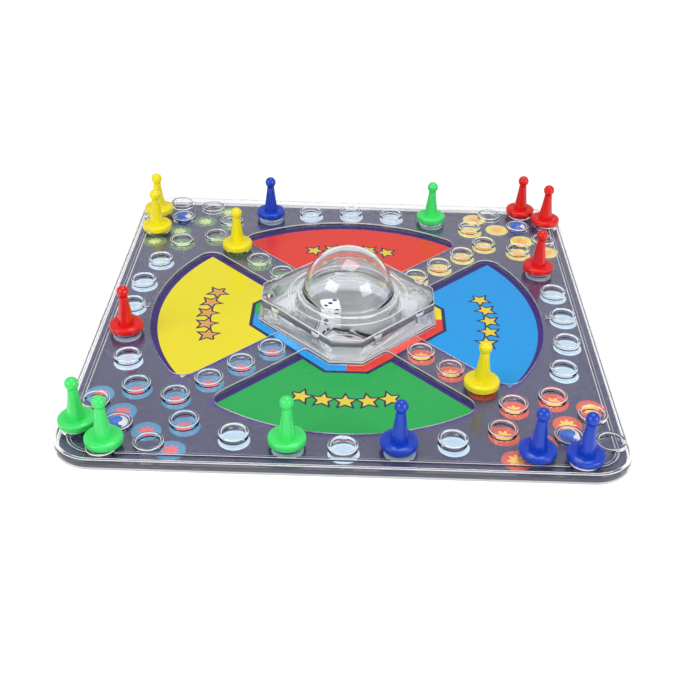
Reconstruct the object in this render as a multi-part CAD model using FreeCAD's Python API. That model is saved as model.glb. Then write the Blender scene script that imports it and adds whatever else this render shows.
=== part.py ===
"""Solid model of a press-dome dice board game with its sixteen pawns.

A clear moulded cover with raised collars lies over a printed card and a base tray. A press dome
in the middle snaps onto a housing and pushes on a domed spring plate, which throws the die.

Millimetres. +Z is up and z = 0 is the table. The origin is the middle of the board, +X is right
and +Y is away from the player at the front.
"""
import FreeCAD, Part
import math
import os

Vector = FreeCAD.Vector
UP = Vector(0, 0, 1)
ORIGIN = Vector(0, 0, 0)

# Board: the cover's outside, its rim, deck and the layers below it
BOARD_HALF = 126.3
BOARD_CORNER_R = 19.0
RIM_TOP = 5.4
RIM_ROUND = 0.7
WALL = 1.7
DECK_TOP = 3.8
DECK_THICKNESS = 1.6
BASE_THICKNESS = 1.0
CARD_THICKNESS = 0.5
LAYER_GAP = 0.05
EDGE_CLEARANCE = 0.4

# Raised border line on the deck, its middle at this distance from the board's edge
RIDGE_INSET = 6.6
RIDGE_WIDTH = 1.7
RIDGE_HEIGHT = 0.9
RIDGE_CORNER_R = 13.5

# Collars that hold the pawns
COLLAR_R = 6.7
COLLAR_BORE_R = 5.3
COLLAR_HEIGHT = 2.4
COLLAR_ROUND = 0.45

# Track: an arc of collars along each side, its middle one at this distance from the board's edge
TRACK_ARC_R = 172.0
TRACK_INSET = 14.1
TRACK_STEP_DEG = 8.12
TRACK_EACH_WAY = 3

# Finish lanes along the diagonals, from the dice module outwards
LANE_FROM_MODULE = 15.32
LANE_STEP = 19.36
LANE_COUNT = 4

# Home corners: four collars round a corner stud, which stands this far in from both edges
STUD_INSET = 26.3
HOME_OUTER_R = 18.0
HOME_OUTER_DEG = 34.0
HOME_INNER_R = 20.7
HOME_INNER_DEG = 95.6

# Windows in the deck over the coloured sectors, and the small tab outside each
WINDOW_LANE_HALF = 10.0
WINDOW_FROM_TRACK = 10.7
WINDOW_ROUND = 2.0
WINDOW_OUTER_ROUND = 8.0
TAB_WIDTH = 4.0
TAB_DEPTH = 2.0
TAB_HEIGHT = 0.8
TAB_FROM_WINDOW = 2.0

# Corner studs that rivet cover, card and base together
STUD_HEAD_R = 4.9
STUD_CROWN_R = 2.5
STUD_HEAD_HEIGHT = 3.0
STUD_SHANK_R = 2.4
STUD_SIDES = 8
STUD_CLINCH_R = 3.3
STUD_CLINCH_HEIGHT = 0.5
STUD_CLEARANCE = 0.1

# Snap lugs of the base tray in the cover's wall
LUG_SPACING = 62.0
LUG_WIDTH = 4.0
LUG_REACH = 0.4
LUG_HEIGHT = 0.8
LUG_CLEARANCE = 0.15

# Dice module: a square with cut corners, turned 45 degrees
MODULE_FACE = 36.6
MODULE_FLAT_HALF = 7.6
MODULE_HEIGHT = 11.4
MODULE_MARGIN = 1.6
MODULE_CLEARANCE = 0.2
HOUSING_INSET = 0.5
HOUSING_WALL = 1.5
HOUSING_FLOOR = 0.8
BAND_HEIGHT = 1.2
FOOT_TUCK = 0.3
GUIDE_HEIGHT = 6.0
GUIDE_WALL = 1.2

# Press dome and its legs
DOME_R = 23.0
DOME_WALL = 1.5
DOME_RISE = 2.0
PRESS_PLATE = 1.0
PRESS_GAP = 1.8
PRESS_TRAVEL = 1.6
FOOT_STEP_R = 27.0
FOOT_STEP_HEIGHT = 0.7
OUTER_STEP_R = 31.0
OUTER_STEP_WIDTH = 1.4
OUTER_STEP_HEIGHT = 0.4
LEG_SPACING = 15.0
LEG_WIDTH = 4.0
LEG_THICKNESS = 0.9
LEG_LENGTH = 5.6
LEG_CLEARANCE = 0.15
HOOK_HEIGHT = 0.8
HOOK_REACH = 1.2

# Domed spring plate
POP_THICKNESS = 0.4
POP_RISE = 2.1
POP_FLAT_R = 19.9
POP_RIM_R = 26.4
POP_CLEARANCE = 0.3
RING_LIFT = 0.15

# Die
DIE_SIZE = 10.0
DIE_ROUND = 1.3
DIE_PLACE = (-8.8, -9.2)
DIE_TURN_DEG = 10.0
PIP_R = 0.9
PIP_DEPTH = 0.3
PIP_SPACING = 2.6

# Pawns
PAWN_FLANGE_R = 8.4
PAWN_FLANGE_SIDE = 2.6
PAWN_FLANGE_TOP = 3.9
PAWN_SHOULDER_R = 6.2
PAWN_BOTTOM_CHAMFER = 0.4
PAWN_SEAT_DEPTH = 0.4
PAWN_SEAT_CLEARANCE = 0.2
PAWN_SEAT_GAP = 0.02
PAWN_WAIST_WIDTH = 7.6
PAWN_NECK_WIDTH = 4.1
PAWN_NECK_HEIGHT = 18.2
PAWN_BALL_R = 3.1
PAWN_BALL_HEIGHT = 20.9
PAWN_SIDES = 8

# Pawns that lie loose on their collar's rim, with how far each has slipped off its middle
SLIPPED = {
    ("yellow", 1): (2.1, 1.4),
    ("blue", 4): (0.8, 1.8),
    ("green", 3): (0.5, 1.4),
    ("green", 4): (0.6, 3.2),
    ("red", 2): (-0.7, 1.6),
}

ROOT2 = math.sqrt(2.0)

# Places that follow from the board's size and the dice module
RIDGE_HALF = BOARD_HALF - RIDGE_INSET
TRACK_NEAR = BOARD_HALF - TRACK_INSET
STUD_DIAGONAL = (BOARD_HALF - STUD_INSET) * ROOT2
LANE_NEAREST = MODULE_FACE + LANE_FROM_MODULE
WINDOW_ARC_R = TRACK_NEAR - WINDOW_FROM_TRACK

# Heights that follow from the stack
DECK_BOTTOM = DECK_TOP - DECK_THICKNESS
CARD_BOTTOM = BASE_THICKNESS + LAYER_GAP
COLLAR_TOP = DECK_TOP + COLLAR_HEIGHT
CARD_HALF = BOARD_HALF - WALL - EDGE_CLEARANCE
FLOOR_BOTTOM = BASE_THICKNESS + LAYER_GAP
FLOOR_TOP = FLOOR_BOTTOM + HOUSING_FLOOR
PRESS_TOP = DECK_TOP + MODULE_HEIGHT
PRESS_BOTTOM = PRESS_TOP - PRESS_PLATE
BAND_TOP = PRESS_BOTTOM - PRESS_GAP
BAND_BOTTOM = BAND_TOP - BAND_HEIGHT
POP_BOTTOM = FLOOR_TOP + LAYER_GAP
POP_TOP = POP_BOTTOM + POP_RISE + POP_THICKNESS
DOME_CENTRE = PRESS_TOP + DOME_RISE
DOME_BORE_R = DOME_R - DOME_WALL
LEG_BOTTOM = PRESS_BOTTOM - LEG_LENGTH
HOOK_TOP = LEG_BOTTOM + HOOK_HEIGHT
LEG_INNER = MODULE_FACE - HOUSING_INSET + LEG_CLEARANCE
PAWN_BOTTOM = COLLAR_TOP - PAWN_SEAT_DEPTH + PAWN_SEAT_GAP

SIDE_TURNS = (0, 90, 180, 270)


def turned(shape, degrees):
    """A copy of shape turned about the board's upright axis."""
    copy = shape.copy()
    copy.rotate(ORIGIN, UP, degrees)
    return copy


def prism(points, bottom, top):
    """An upright prism over a closed outline of (x, y) points."""
    corners = [Vector(x, y, bottom) for x, y in points]
    wire = Part.makePolygon(corners + corners[:1])
    return Part.Face(wire).extrude(Vector(0, 0, top - bottom))


def block(x_range, y_range, z_range):
    """A box between the given ends along X, Y and Z."""
    (x0, x1), (y0, y1), (z0, z1) = x_range, y_range, z_range
    return Part.makeBox(x1 - x0, y1 - y0, z1 - z0, Vector(x0, y0, z0))


def upright_edges(solid):
    """The edges of solid that run straight up."""
    found = []
    for edge in solid.Edges:
        box = edge.BoundBox
        if box.ZLength > 1e-3 and box.XLength < 1e-6 and box.YLength < 1e-6:
            found.append(edge)
    return found


def from_axis(edge):
    """How far an upright edge stands from the board's axis."""
    return math.hypot(edge.BoundBox.XMin, edge.BoundBox.YMin)


def rounded_square(half, corner_r, bottom, top):
    """A square slab with rounded corners, centred on the board's axis."""
    slab = block((-half, half), (-half, half), (bottom, top))
    return slab.makeFillet(corner_r, upright_edges(slab))


def revolved(profile):
    """A solid of revolution about the upright axis from a closed (r, z) outline."""
    corners = [Vector(r, 0, z) for r, z in profile]
    wire = Part.makePolygon(corners + corners[:1])
    return Part.Face(wire).revolve(ORIGIN, UP, 360)


def module_outline(offset):
    """The dice module's outline, grown by offset on every side."""
    face = MODULE_FACE + offset
    flat = MODULE_FACE * ROOT2 - MODULE_FLAT_HALF + offset
    half = face * ROOT2 - flat
    corner = [(flat, -half), (flat, half)]
    points = []
    for degrees in SIDE_TURNS:
        angle = math.radians(degrees)
        for x, y in corner:
            points.append(
                (x * math.cos(angle) - y * math.sin(angle), x * math.sin(angle) + y * math.cos(angle))
            )
    return points


def module_prism(offset, bottom, top):
    """The dice module's outline, grown by offset, as an upright prism."""
    return prism(module_outline(offset), bottom, top)


def polar(radius, degrees):
    """The (x, y) point at radius and angle from the board's centre."""
    angle = math.radians(degrees)
    return radius * math.cos(angle), radius * math.sin(angle)


def track_places():
    """Centres of the track's collars along the front side, left to right."""
    places = []
    for step in range(-TRACK_EACH_WAY, TRACK_EACH_WAY + 1):
        angle = math.radians(step * TRACK_STEP_DEG)
        x = TRACK_ARC_R * math.sin(angle)
        y = -TRACK_NEAR + TRACK_ARC_R * (1 - math.cos(angle))
        places.append((x, y))
    return places


def lane_places():
    """Centres of the finish lane's collars at the front left corner, outermost first."""
    return [polar(LANE_NEAREST + step * LANE_STEP, 225) for step in reversed(range(LANE_COUNT))]


def home_places():
    """Centres of the home collars round the front left stud, anticlockwise."""
    stud_x, stud_y = polar(STUD_DIAGONAL, 225)
    places = []
    for radius, turn in (
        (HOME_INNER_R, -HOME_INNER_DEG),
        (HOME_OUTER_R, -HOME_OUTER_DEG),
        (HOME_OUTER_R, HOME_OUTER_DEG),
        (HOME_INNER_R, HOME_INNER_DEG),
    ):
        x, y = polar(radius, 225 + turn)
        places.append((stud_x + x, stud_y + y))
    return places


def collar():
    """One collar with a rounded rim, at the board's centre."""
    tube = Part.makeCylinder(COLLAR_R, COLLAR_HEIGHT, Vector(0, 0, DECK_TOP))
    rim = [edge for edge in tube.Edges if edge.BoundBox.ZMin > COLLAR_TOP - 1e-3]
    tube = tube.makeFillet(COLLAR_ROUND, rim)
    bore = Part.makeCylinder(COLLAR_BORE_R, COLLAR_HEIGHT + 1, Vector(0, 0, DECK_TOP))
    mouth = Part.makeCone(
        COLLAR_BORE_R, COLLAR_BORE_R + COLLAR_ROUND, COLLAR_ROUND, Vector(0, 0, COLLAR_TOP - COLLAR_ROUND)
    )
    return tube.cut(bore).cut(mouth)


def all_collars():
    """Every collar of the deck, with one round each corner stud."""
    first = track_places() + lane_places() + home_places() + [polar(STUD_DIAGONAL, 225)]
    pattern = collar()
    collars = []
    for x, y in first:
        placed = pattern.translated(Vector(x, y, 0))
        collars += [turned(placed, degrees) for degrees in SIDE_TURNS]
    return collars


def window():
    """The opening over the front sector, cut through the deck."""
    bottom, top = DECK_BOTTOM - 1, DECK_TOP + RIDGE_HEIGHT
    apex = WINDOW_LANE_HALF * ROOT2
    reach = BOARD_HALF
    wedge = prism([(0, -apex), (-reach, -apex - reach), (reach, -apex - reach)], bottom, top)
    disc = Part.makeCylinder(WINDOW_ARC_R, top - bottom, Vector(0, 0, bottom))
    opening = wedge.common(disc).cut(module_prism(MODULE_MARGIN, bottom, top))
    inner = [edge for edge in upright_edges(opening) if from_axis(edge) < WINDOW_ARC_R - 1]
    opening = opening.makeFillet(WINDOW_ROUND, inner)
    outer = [edge for edge in upright_edges(opening) if from_axis(edge) > WINDOW_ARC_R - 1]
    return opening.makeFillet(WINDOW_OUTER_ROUND, outer)


def window_tab():
    """The small raised tab outside the front window's arc."""
    far = -WINDOW_ARC_R - TAB_FROM_WINDOW
    return block(
        (-TAB_WIDTH / 2, TAB_WIDTH / 2), (far - TAB_DEPTH, far), (DECK_TOP, DECK_TOP + TAB_HEIGHT)
    )


def ridge():
    """The raised border line that runs round the deck."""
    outer = RIDGE_HALF + RIDGE_WIDTH / 2
    inner = RIDGE_HALF - RIDGE_WIDTH / 2
    inner_r = RIDGE_CORNER_R - RIDGE_WIDTH
    top = DECK_TOP + RIDGE_HEIGHT
    band = rounded_square(outer, RIDGE_CORNER_R, DECK_TOP, top)
    return band.cut(rounded_square(inner, inner_r, DECK_TOP - 1, top + 1))


def lug_blocks(reach, width, height, bottom):
    """Three small blocks on each side of the board that reach out to the given distance."""
    blocks = []
    for place in (-LUG_SPACING, 0, LUG_SPACING):
        lug = block(
            (place - width / 2, place + width / 2), (-reach, -CARD_HALF + WALL), (bottom, bottom + height)
        )
        blocks += [turned(lug, degrees) for degrees in SIDE_TURNS]
    return blocks


def top_cover():
    """The clear cover: wall, deck, border line, collars, windows and the module's opening."""
    inner_half = BOARD_HALF - WALL
    inner_r = BOARD_CORNER_R - WALL
    body = rounded_square(BOARD_HALF, BOARD_CORNER_R, 0, RIM_TOP)
    rim = [edge for edge in body.Edges if edge.BoundBox.ZMin > RIM_TOP - 1e-3]
    body = body.makeFillet(RIM_ROUND, rim)
    body = body.cut(rounded_square(inner_half, inner_r, DECK_TOP, RIM_TOP + 1))
    body = body.cut(rounded_square(inner_half, inner_r, -1, DECK_BOTTOM))
    tabs = [turned(window_tab(), degrees) for degrees in SIDE_TURNS]
    body = body.fuse([ridge()] + tabs + all_collars())
    cuts = [turned(window(), degrees) for degrees in SIDE_TURNS]
    cuts.append(module_prism(MODULE_CLEARANCE, DECK_BOTTOM - 1, DECK_TOP + 1))
    hole = Part.makeCylinder(STUD_SHANK_R + STUD_CLEARANCE, RIM_TOP, Vector(*polar(STUD_DIAGONAL, 225), 0))
    cuts += [turned(hole, degrees) for degrees in SIDE_TURNS]
    cuts += lug_blocks(
        CARD_HALF + LUG_REACH + LUG_CLEARANCE,
        LUG_WIDTH + 2 * LUG_CLEARANCE,
        LUG_HEIGHT + 2 * LUG_CLEARANCE,
        -LUG_CLEARANCE,
    )
    return body.cut(cuts)


def printed_card():
    """The printed card between the base tray and the cover's deck."""
    top = CARD_BOTTOM + CARD_THICKNESS
    card = rounded_square(CARD_HALF, BOARD_CORNER_R - WALL, CARD_BOTTOM, top)
    card = card.cut(module_prism(MODULE_MARGIN - FOOT_TUCK + MODULE_CLEARANCE, CARD_BOTTOM - 1, top + 1))
    hole = Part.makeCylinder(STUD_SHANK_R + STUD_CLEARANCE, RIM_TOP, Vector(*polar(STUD_DIAGONAL, 225), 0))
    return card.cut([turned(hole, degrees) for degrees in SIDE_TURNS])


def base_tray():
    """The base tray with its snap lugs and the sinks for the studs' clinched ends."""
    tray = rounded_square(CARD_HALF, BOARD_CORNER_R - WALL, 0, BASE_THICKNESS)
    tray = tray.fuse(lug_blocks(CARD_HALF + LUG_REACH, LUG_WIDTH, LUG_HEIGHT, 0))
    place = Vector(*polar(STUD_DIAGONAL, 225), 0)
    hole = Part.makeCylinder(STUD_SHANK_R + STUD_CLEARANCE, RIM_TOP, place)
    sink_height = STUD_CLINCH_HEIGHT + 2 * STUD_CLEARANCE
    sink = Part.makeCylinder(STUD_CLINCH_R + STUD_CLEARANCE, sink_height, place)
    socket = hole.fuse(sink)
    return tray.cut([turned(socket, degrees) for degrees in SIDE_TURNS])


def regular_wire(radius, height, sides):
    """A closed regular polygon at a height, as a wire."""
    corners = []
    for index in range(sides):
        x, y = polar(radius, 360.0 * (index + 0.5) / sides)
        corners.append(Vector(x, y, height))
    return Part.makePolygon(corners + corners[:1])


def frustum(bottom_r, bottom, top_r, top, sides):
    """A faceted frustum between two regular polygons."""
    wires = [regular_wire(bottom_r, bottom, sides), regular_wire(top_r, top, sides)]
    return Part.makeLoft(wires, True, True)


def corner_studs():
    """The four faceted studs that rivet the layers together, as separate solids."""
    head_bottom = DECK_TOP + LAYER_GAP
    girdle = head_bottom + STUD_HEAD_HEIGHT / 3
    low = frustum(STUD_HEAD_R, head_bottom, STUD_HEAD_R, girdle, STUD_SIDES)
    crown = frustum(STUD_HEAD_R, girdle, STUD_CROWN_R, head_bottom + STUD_HEAD_HEIGHT, STUD_SIDES)
    shank = Part.makeCylinder(STUD_SHANK_R, head_bottom - STUD_CLEARANCE, Vector(0, 0, STUD_CLEARANCE))
    clinch = Part.makeCylinder(STUD_CLINCH_R, STUD_CLINCH_HEIGHT, Vector(0, 0, STUD_CLEARANCE))
    stud = low.fuse([crown, shank, clinch]).removeSplitter()
    placed = stud.translated(Vector(*polar(STUD_DIAGONAL, 225), 0))
    return Part.makeCompound([turned(placed, degrees) for degrees in SIDE_TURNS])


def face_blocks(inner, outer, width, bottom, top):
    """Blocks in pairs on the module's four long faces, between two distances from its centre."""
    blocks = []
    for place in (-LEG_SPACING, LEG_SPACING):
        leg = block((inner, outer), (place - width / 2, place + width / 2), (bottom, top))
        blocks += [turned(leg, 45 + degrees) for degrees in SIDE_TURNS]
    return blocks


def module_housing():
    """The housing's wall with its top band, the foot lip under the deck and the legs' slots."""
    outer = -HOUSING_INSET
    body = module_prism(outer, FLOOR_BOTTOM, BAND_TOP)
    body = body.fuse(
        [
            module_prism(0, BAND_BOTTOM, BAND_TOP),
            module_prism(MODULE_MARGIN - FOOT_TUCK, FLOOR_BOTTOM, DECK_BOTTOM - LAYER_GAP),
        ]
    )
    body = body.cut(module_prism(outer - HOUSING_WALL, FLOOR_BOTTOM - 1, BAND_TOP + 1))
    slot_width = LEG_WIDTH + 2 * LEG_CLEARANCE
    notches = face_blocks(
        MODULE_FACE - HOUSING_INSET, MODULE_FACE + 1, slot_width, BAND_BOTTOM - 1, BAND_TOP + 1
    )
    slots = face_blocks(
        LEG_INNER - HOUSING_WALL - HOOK_REACH,
        MODULE_FACE + 1,
        slot_width,
        LEG_BOTTOM - PRESS_TRAVEL - LEG_CLEARANCE,
        HOOK_TOP + LEG_CLEARANCE,
    )
    return body.cut(notches + slots)


def housing_floor():
    """The floor plate that closes the housing from below."""
    return module_prism(-HOUSING_INSET - HOUSING_WALL - LAYER_GAP, FLOOR_BOTTOM, FLOOR_TOP)


def guide_ring():
    """The ring on the floor that keeps the spring plate in the middle."""
    inner = POP_RIM_R + POP_CLEARANCE
    ring = Part.makeCylinder(inner + GUIDE_WALL, GUIDE_HEIGHT, Vector(0, 0, FLOOR_TOP))
    return ring.cut(Part.makeCylinder(inner, GUIDE_HEIGHT, Vector(0, 0, FLOOR_TOP)))


def pop_height(radius):
    """The height of the spring plate's upper face at a radius outside its flat middle."""
    share = (radius - POP_FLAT_R) / (POP_RIM_R - POP_FLAT_R)
    return POP_TOP - POP_RISE * share


def pop_plate():
    """The domed spring plate, its rim on the housing's floor."""
    return revolved(
        [
            (0, POP_TOP - POP_THICKNESS),
            (POP_FLAT_R, POP_TOP - POP_THICKNESS),
            (POP_RIM_R, POP_BOTTOM),
            (POP_RIM_R, POP_BOTTOM + POP_THICKNESS),
            (POP_FLAT_R, POP_TOP),
            (0, POP_TOP),
        ]
    )


def dome_bore(bottom):
    """The dome's hollow: a round-topped bore from a given height up."""
    bore = Part.makeCylinder(DOME_BORE_R, DOME_CENTRE - bottom, Vector(0, 0, bottom))
    hollow = Part.makeSphere(DOME_BORE_R, Vector(0, 0, DOME_CENTRE))
    hollow = hollow.common(Part.makeCylinder(DOME_R, DOME_R, Vector(0, 0, DOME_CENTRE)))
    return bore.fuse(hollow)


def press_dome():
    """The clear dome with its stepped foot, seated on the press plate."""
    ball = Part.makeSphere(DOME_R, Vector(0, 0, DOME_CENTRE))
    upper = ball.common(Part.makeCylinder(DOME_R + 1, DOME_R + 1, Vector(0, 0, DOME_CENTRE)))
    neck = Part.makeCylinder(DOME_R, DOME_RISE, Vector(0, 0, PRESS_TOP))
    foot = Part.makeCone(
        FOOT_STEP_R, DOME_R, DOME_RISE, Vector(0, 0, PRESS_TOP + FOOT_STEP_HEIGHT)
    )
    step = Part.makeCylinder(FOOT_STEP_R, FOOT_STEP_HEIGHT, Vector(0, 0, PRESS_TOP))
    return upper.fuse([neck, foot, step]).cut(dome_bore(PRESS_TOP - 1)).removeSplitter()


def press_plate():
    """The plate under the dome with its outer step, and its snap legs on the module's faces."""
    plate = module_prism(0, PRESS_BOTTOM, PRESS_TOP)
    step_height = PRESS_PLATE + OUTER_STEP_HEIGHT
    step = Part.makeCylinder(OUTER_STEP_R, step_height, Vector(0, 0, PRESS_BOTTOM))
    step = step.cut(
        Part.makeCylinder(OUTER_STEP_R - OUTER_STEP_WIDTH, step_height, Vector(0, 0, PRESS_BOTTOM))
    )
    legs = face_blocks(LEG_INNER, LEG_INNER + LEG_THICKNESS, LEG_WIDTH, LEG_BOTTOM, PRESS_TOP)
    hooks = face_blocks(LEG_INNER - HOOK_REACH, LEG_INNER, LEG_WIDTH, LEG_BOTTOM, HOOK_TOP)
    plate = plate.fuse([step] + legs + hooks)
    return plate.cut(dome_bore(PRESS_BOTTOM - 1)).removeSplitter()


def press_ring():
    """The ring under the press plate that pushes on the spring plate's slope."""
    bottom = pop_height(DOME_BORE_R) + RING_LIFT
    ring = Part.makeCylinder(DOME_R, PRESS_BOTTOM - bottom, Vector(0, 0, bottom))
    return ring.cut(dome_bore(bottom - 1))


def pip_places(count):
    """Pip centres of a face in steps of PIP_SPACING from its middle."""
    corners = [(-1, -1), (1, 1), (-1, 1), (1, -1)]
    middle = [(0, 0)] if count % 2 else []
    sides = [(-1, 0), (1, 0)] if count == 6 else []
    return corners[: count - len(middle) - len(sides)] + middle + sides


def die():
    """The die, three upwards and two to the front, on the spring plate's flat middle."""
    half = DIE_SIZE / 2
    cube = block((-half, half), (-half, half), (-half, half))
    cube = cube.makeFillet(DIE_ROUND, cube.Edges)
    ball_r = (PIP_R**2 + PIP_DEPTH**2) / (2 * PIP_DEPTH)
    reach = half + ball_r - PIP_DEPTH
    faces = {
        3: (Vector(0, 0, 1), Vector(1, 0, 0), Vector(0, 1, 0)),
        4: (Vector(0, 0, -1), Vector(1, 0, 0), Vector(0, 1, 0)),
        2: (Vector(0, -1, 0), Vector(1, 0, 0), Vector(0, 0, 1)),
        5: (Vector(0, 1, 0), Vector(1, 0, 0), Vector(0, 0, 1)),
        1: (Vector(1, 0, 0), Vector(0, 1, 0), Vector(0, 0, 1)),
        6: (Vector(-1, 0, 0), Vector(0, 1, 0), Vector(0, 0, 1)),
    }
    dimples = []
    for count, (outward, across, along) in faces.items():
        for u, v in pip_places(count):
            centre = outward * reach + across * (u * PIP_SPACING) + along * (v * PIP_SPACING)
            dimples.append(Part.makeSphere(ball_r, centre))
    cube = cube.cut(dimples)
    cube.rotate(ORIGIN, UP, DIE_TURN_DEG)
    x, y = DIE_PLACE
    return cube.translated(Vector(x, y, POP_TOP + LAYER_GAP + half))


def pawn():
    """One pawn at the board's centre, at the height of a pawn that sits on a collar."""
    seat_r = COLLAR_R + PAWN_SEAT_CLEARANCE
    side_top = PAWN_FLANGE_SIDE
    flange = revolved(
        [
            (0, PAWN_SEAT_DEPTH),
            (seat_r, PAWN_SEAT_DEPTH),
            (seat_r, 0),
            (PAWN_FLANGE_R - PAWN_BOTTOM_CHAMFER, 0),
            (PAWN_FLANGE_R, PAWN_BOTTOM_CHAMFER),
            (PAWN_FLANGE_R, side_top),
            (PAWN_SHOULDER_R, PAWN_FLANGE_TOP),
            (0, PAWN_FLANGE_TOP),
        ]
    )
    across = math.cos(math.pi / PAWN_SIDES)
    waist = PAWN_WAIST_WIDTH / 2 / across
    neck = PAWN_NECK_WIDTH / 2 / across
    body = frustum(waist, side_top, neck, PAWN_NECK_HEIGHT, PAWN_SIDES)
    ball = Part.makeSphere(PAWN_BALL_R, Vector(0, 0, PAWN_BALL_HEIGHT))
    piece = flange.fuse([body, ball])
    return piece.translated(Vector(0, 0, PAWN_BOTTOM))


def side_place(places, index, side):
    """A place of the front side's list, turned to another side of the board."""
    angle = math.radians(side)
    x, y = places[index]
    return x * math.cos(angle) - y * math.sin(angle), x * math.sin(angle) + y * math.cos(angle)


def pawn_places():
    """Pawn colour to the places of its four pawns, as set out at rest."""
    track, lane, home = track_places(), lane_places(), home_places()
    front, right, back, left = SIDE_TURNS
    return {
        "yellow": [
            side_place(home, 2, left),
            side_place(home, 3, left),
            side_place(lane, 1, left),
            side_place(lane, 1, right),
        ],
        "blue": [
            side_place(track, 5, back),
            side_place(track, 4, front),
            side_place(home, 0, right),
            side_place(home, 1, right),
        ],
        "green": [
            side_place(track, 1, back),
            side_place(track, 2, front),
            side_place(home, 1, front),
            side_place(home, 2, front),
        ],
        "red": [
            side_place(track, 4, left),
            side_place(home, 1, back),
            side_place(home, 2, back),
            side_place(track, 5, right),
        ],
    }


def placed_pawn(colour, number, place):
    """A pawn on its collar, or loose on the collar's rim if it has slipped off its middle."""
    slip_x, slip_y = SLIPPED.get((colour, number), (0, 0))
    lift = PAWN_SEAT_DEPTH if (colour, number) in SLIPPED else 0
    x, y = place
    return pawn().translated(Vector(x + slip_x, y + slip_y, lift))


def save(node, shape):
    """Write one node's STEP file and print its solids, volume and box."""
    box = shape.BoundBox
    print(
        f"{node}: {len(shape.Solids)} solids, volume {shape.Volume:.1f}, valid {shape.isValid()},"
        f" x {box.XMin:.2f}..{box.XMax:.2f} y {box.YMin:.2f}..{box.YMax:.2f}"
        f" z {box.ZMin:.2f}..{box.ZMax:.2f}"
    )
    shape.exportStep(f"parts/{node}.step")


def main():
    """Build every node of the game and write it."""
    os.makedirs("parts", exist_ok=True)
    save("top_cover", top_cover())
    save("printed_card", printed_card())
    save("base_tray", base_tray())
    save("corner_studs", corner_studs())
    save("module_housing", module_housing())
    save("housing_floor", housing_floor())
    save("guide_ring", guide_ring())
    save("pop_plate", pop_plate())
    save("press_dome", press_dome())
    save("press_plate", press_plate())
    save("press_ring", press_ring())
    save("die", die())
    for colour, places in pawn_places().items():
        for number, place in enumerate(places, start=1):
            save(f"pawn_{colour}_{number}", placed_pawn(colour, number, place))


main()
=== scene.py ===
"""Looks of a press-dome dice board game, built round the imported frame.

The classes hold sizes in millimetres, in the frame's own axes: z = 0 is the table, the origin is
the middle of the board, +X is right and +Y is away from the player at the front. Pieces are
modelled in millimetres and brought to metres when they are finished.
"""

import logging
import math
from contextlib import contextmanager
from dataclasses import dataclass, field
from enum import Enum
from typing import Callable, Iterator, Sequence

import bmesh
import bpy
from mathutils import Matrix, Vector

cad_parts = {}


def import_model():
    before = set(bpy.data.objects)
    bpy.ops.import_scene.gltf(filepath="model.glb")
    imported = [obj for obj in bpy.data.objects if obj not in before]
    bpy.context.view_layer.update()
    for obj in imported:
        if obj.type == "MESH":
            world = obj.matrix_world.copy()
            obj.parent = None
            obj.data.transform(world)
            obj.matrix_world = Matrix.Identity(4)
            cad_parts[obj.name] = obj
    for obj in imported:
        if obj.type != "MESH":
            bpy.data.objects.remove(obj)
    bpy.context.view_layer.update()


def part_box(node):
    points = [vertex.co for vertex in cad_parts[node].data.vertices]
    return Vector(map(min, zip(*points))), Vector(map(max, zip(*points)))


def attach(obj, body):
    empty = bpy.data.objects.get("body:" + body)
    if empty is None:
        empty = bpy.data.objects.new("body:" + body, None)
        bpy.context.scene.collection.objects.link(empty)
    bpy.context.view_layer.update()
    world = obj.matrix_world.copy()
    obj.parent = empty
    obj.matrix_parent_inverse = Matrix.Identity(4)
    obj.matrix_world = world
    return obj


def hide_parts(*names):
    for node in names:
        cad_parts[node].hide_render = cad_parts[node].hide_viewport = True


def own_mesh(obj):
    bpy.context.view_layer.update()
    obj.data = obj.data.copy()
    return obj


LOG = logging.getLogger("board_game")
METRES = 0.001
ROOT2 = math.sqrt(2.0)
QUARTERS = (0, 90, 180, 270)
# The bearing of the front left corner, in degrees.
CORNER = 225
# Half the angle of one side of an eight-sided bar, in degrees.
HALF_EIGHTH = 22.5

# Points nearer than WELD millimetres are merged, and edges shorter than SLIVER are dissolved.
WELD = 1e-4
SLIVER = 1e-5
# Two measures that differ by less than LEVEL millimetres count as the same.
LEVEL = 1e-3
# The upward part of a face's normal: above FLAT it is level, and below STEEP it is a wall.
FLAT = 0.9
STEEP = 0.1
# The least angle between two faces, in degrees, at an upright corner and at a sharp top edge.
CORNER_ANGLE = 20
SHARP_ANGLE = 60
# The strips that round a slab's corner.
CORNER_STEPS = 14
# How far a cutter reaches past what it cuts.
PAST = 1
# The steps of a bored hole, a small turned part and a large one.
BORE_STEPS = 32
SMALL_STEPS = 48
LARGE_STEPS = 96
# The soft width of a printed edge and of a slow change of tone, in millimetres.
CRISP = 0.12
SOFT = 0.5

Point = tuple[float, float]
Place = tuple[float, float, float]
Colour = tuple[float, float, float]
EdgeTest = Callable[[Vector, Vector, float], bool]
FaceTest = Callable[[Vector, Vector], bool]


def polar(radius: float, degrees: float) -> Point:
    """The (x, y) point at a radius and an angle from the board's middle."""
    angle = math.radians(degrees)
    return radius * math.cos(angle), radius * math.sin(angle)


def arc(centre: Point, radius: float, start: float, end: float, steps: int) -> list[Point]:
    """Points on a circular arc.

    Args:
        centre: The arc's centre.
        radius: The arc's radius.
        start: The first point's angle in degrees.
        end: The last point's angle in degrees.
        steps: How many chords the arc is cut into.

    Returns:
        The points from start to end, both included.
    """
    points = []
    for index in range(steps + 1):
        x, y = polar(radius, start + (end - start) * index / steps)
        points.append((centre[0] + x, centre[1] + y))
    return points


def looks_up(_: Vector, normal: Vector) -> bool:
    """Whether a face is level and looks up."""
    return normal.z > FLAT


def looks_down(_: Vector, normal: Vector) -> bool:
    """Whether a face is level and looks down."""
    return normal.z < -FLAT


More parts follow.
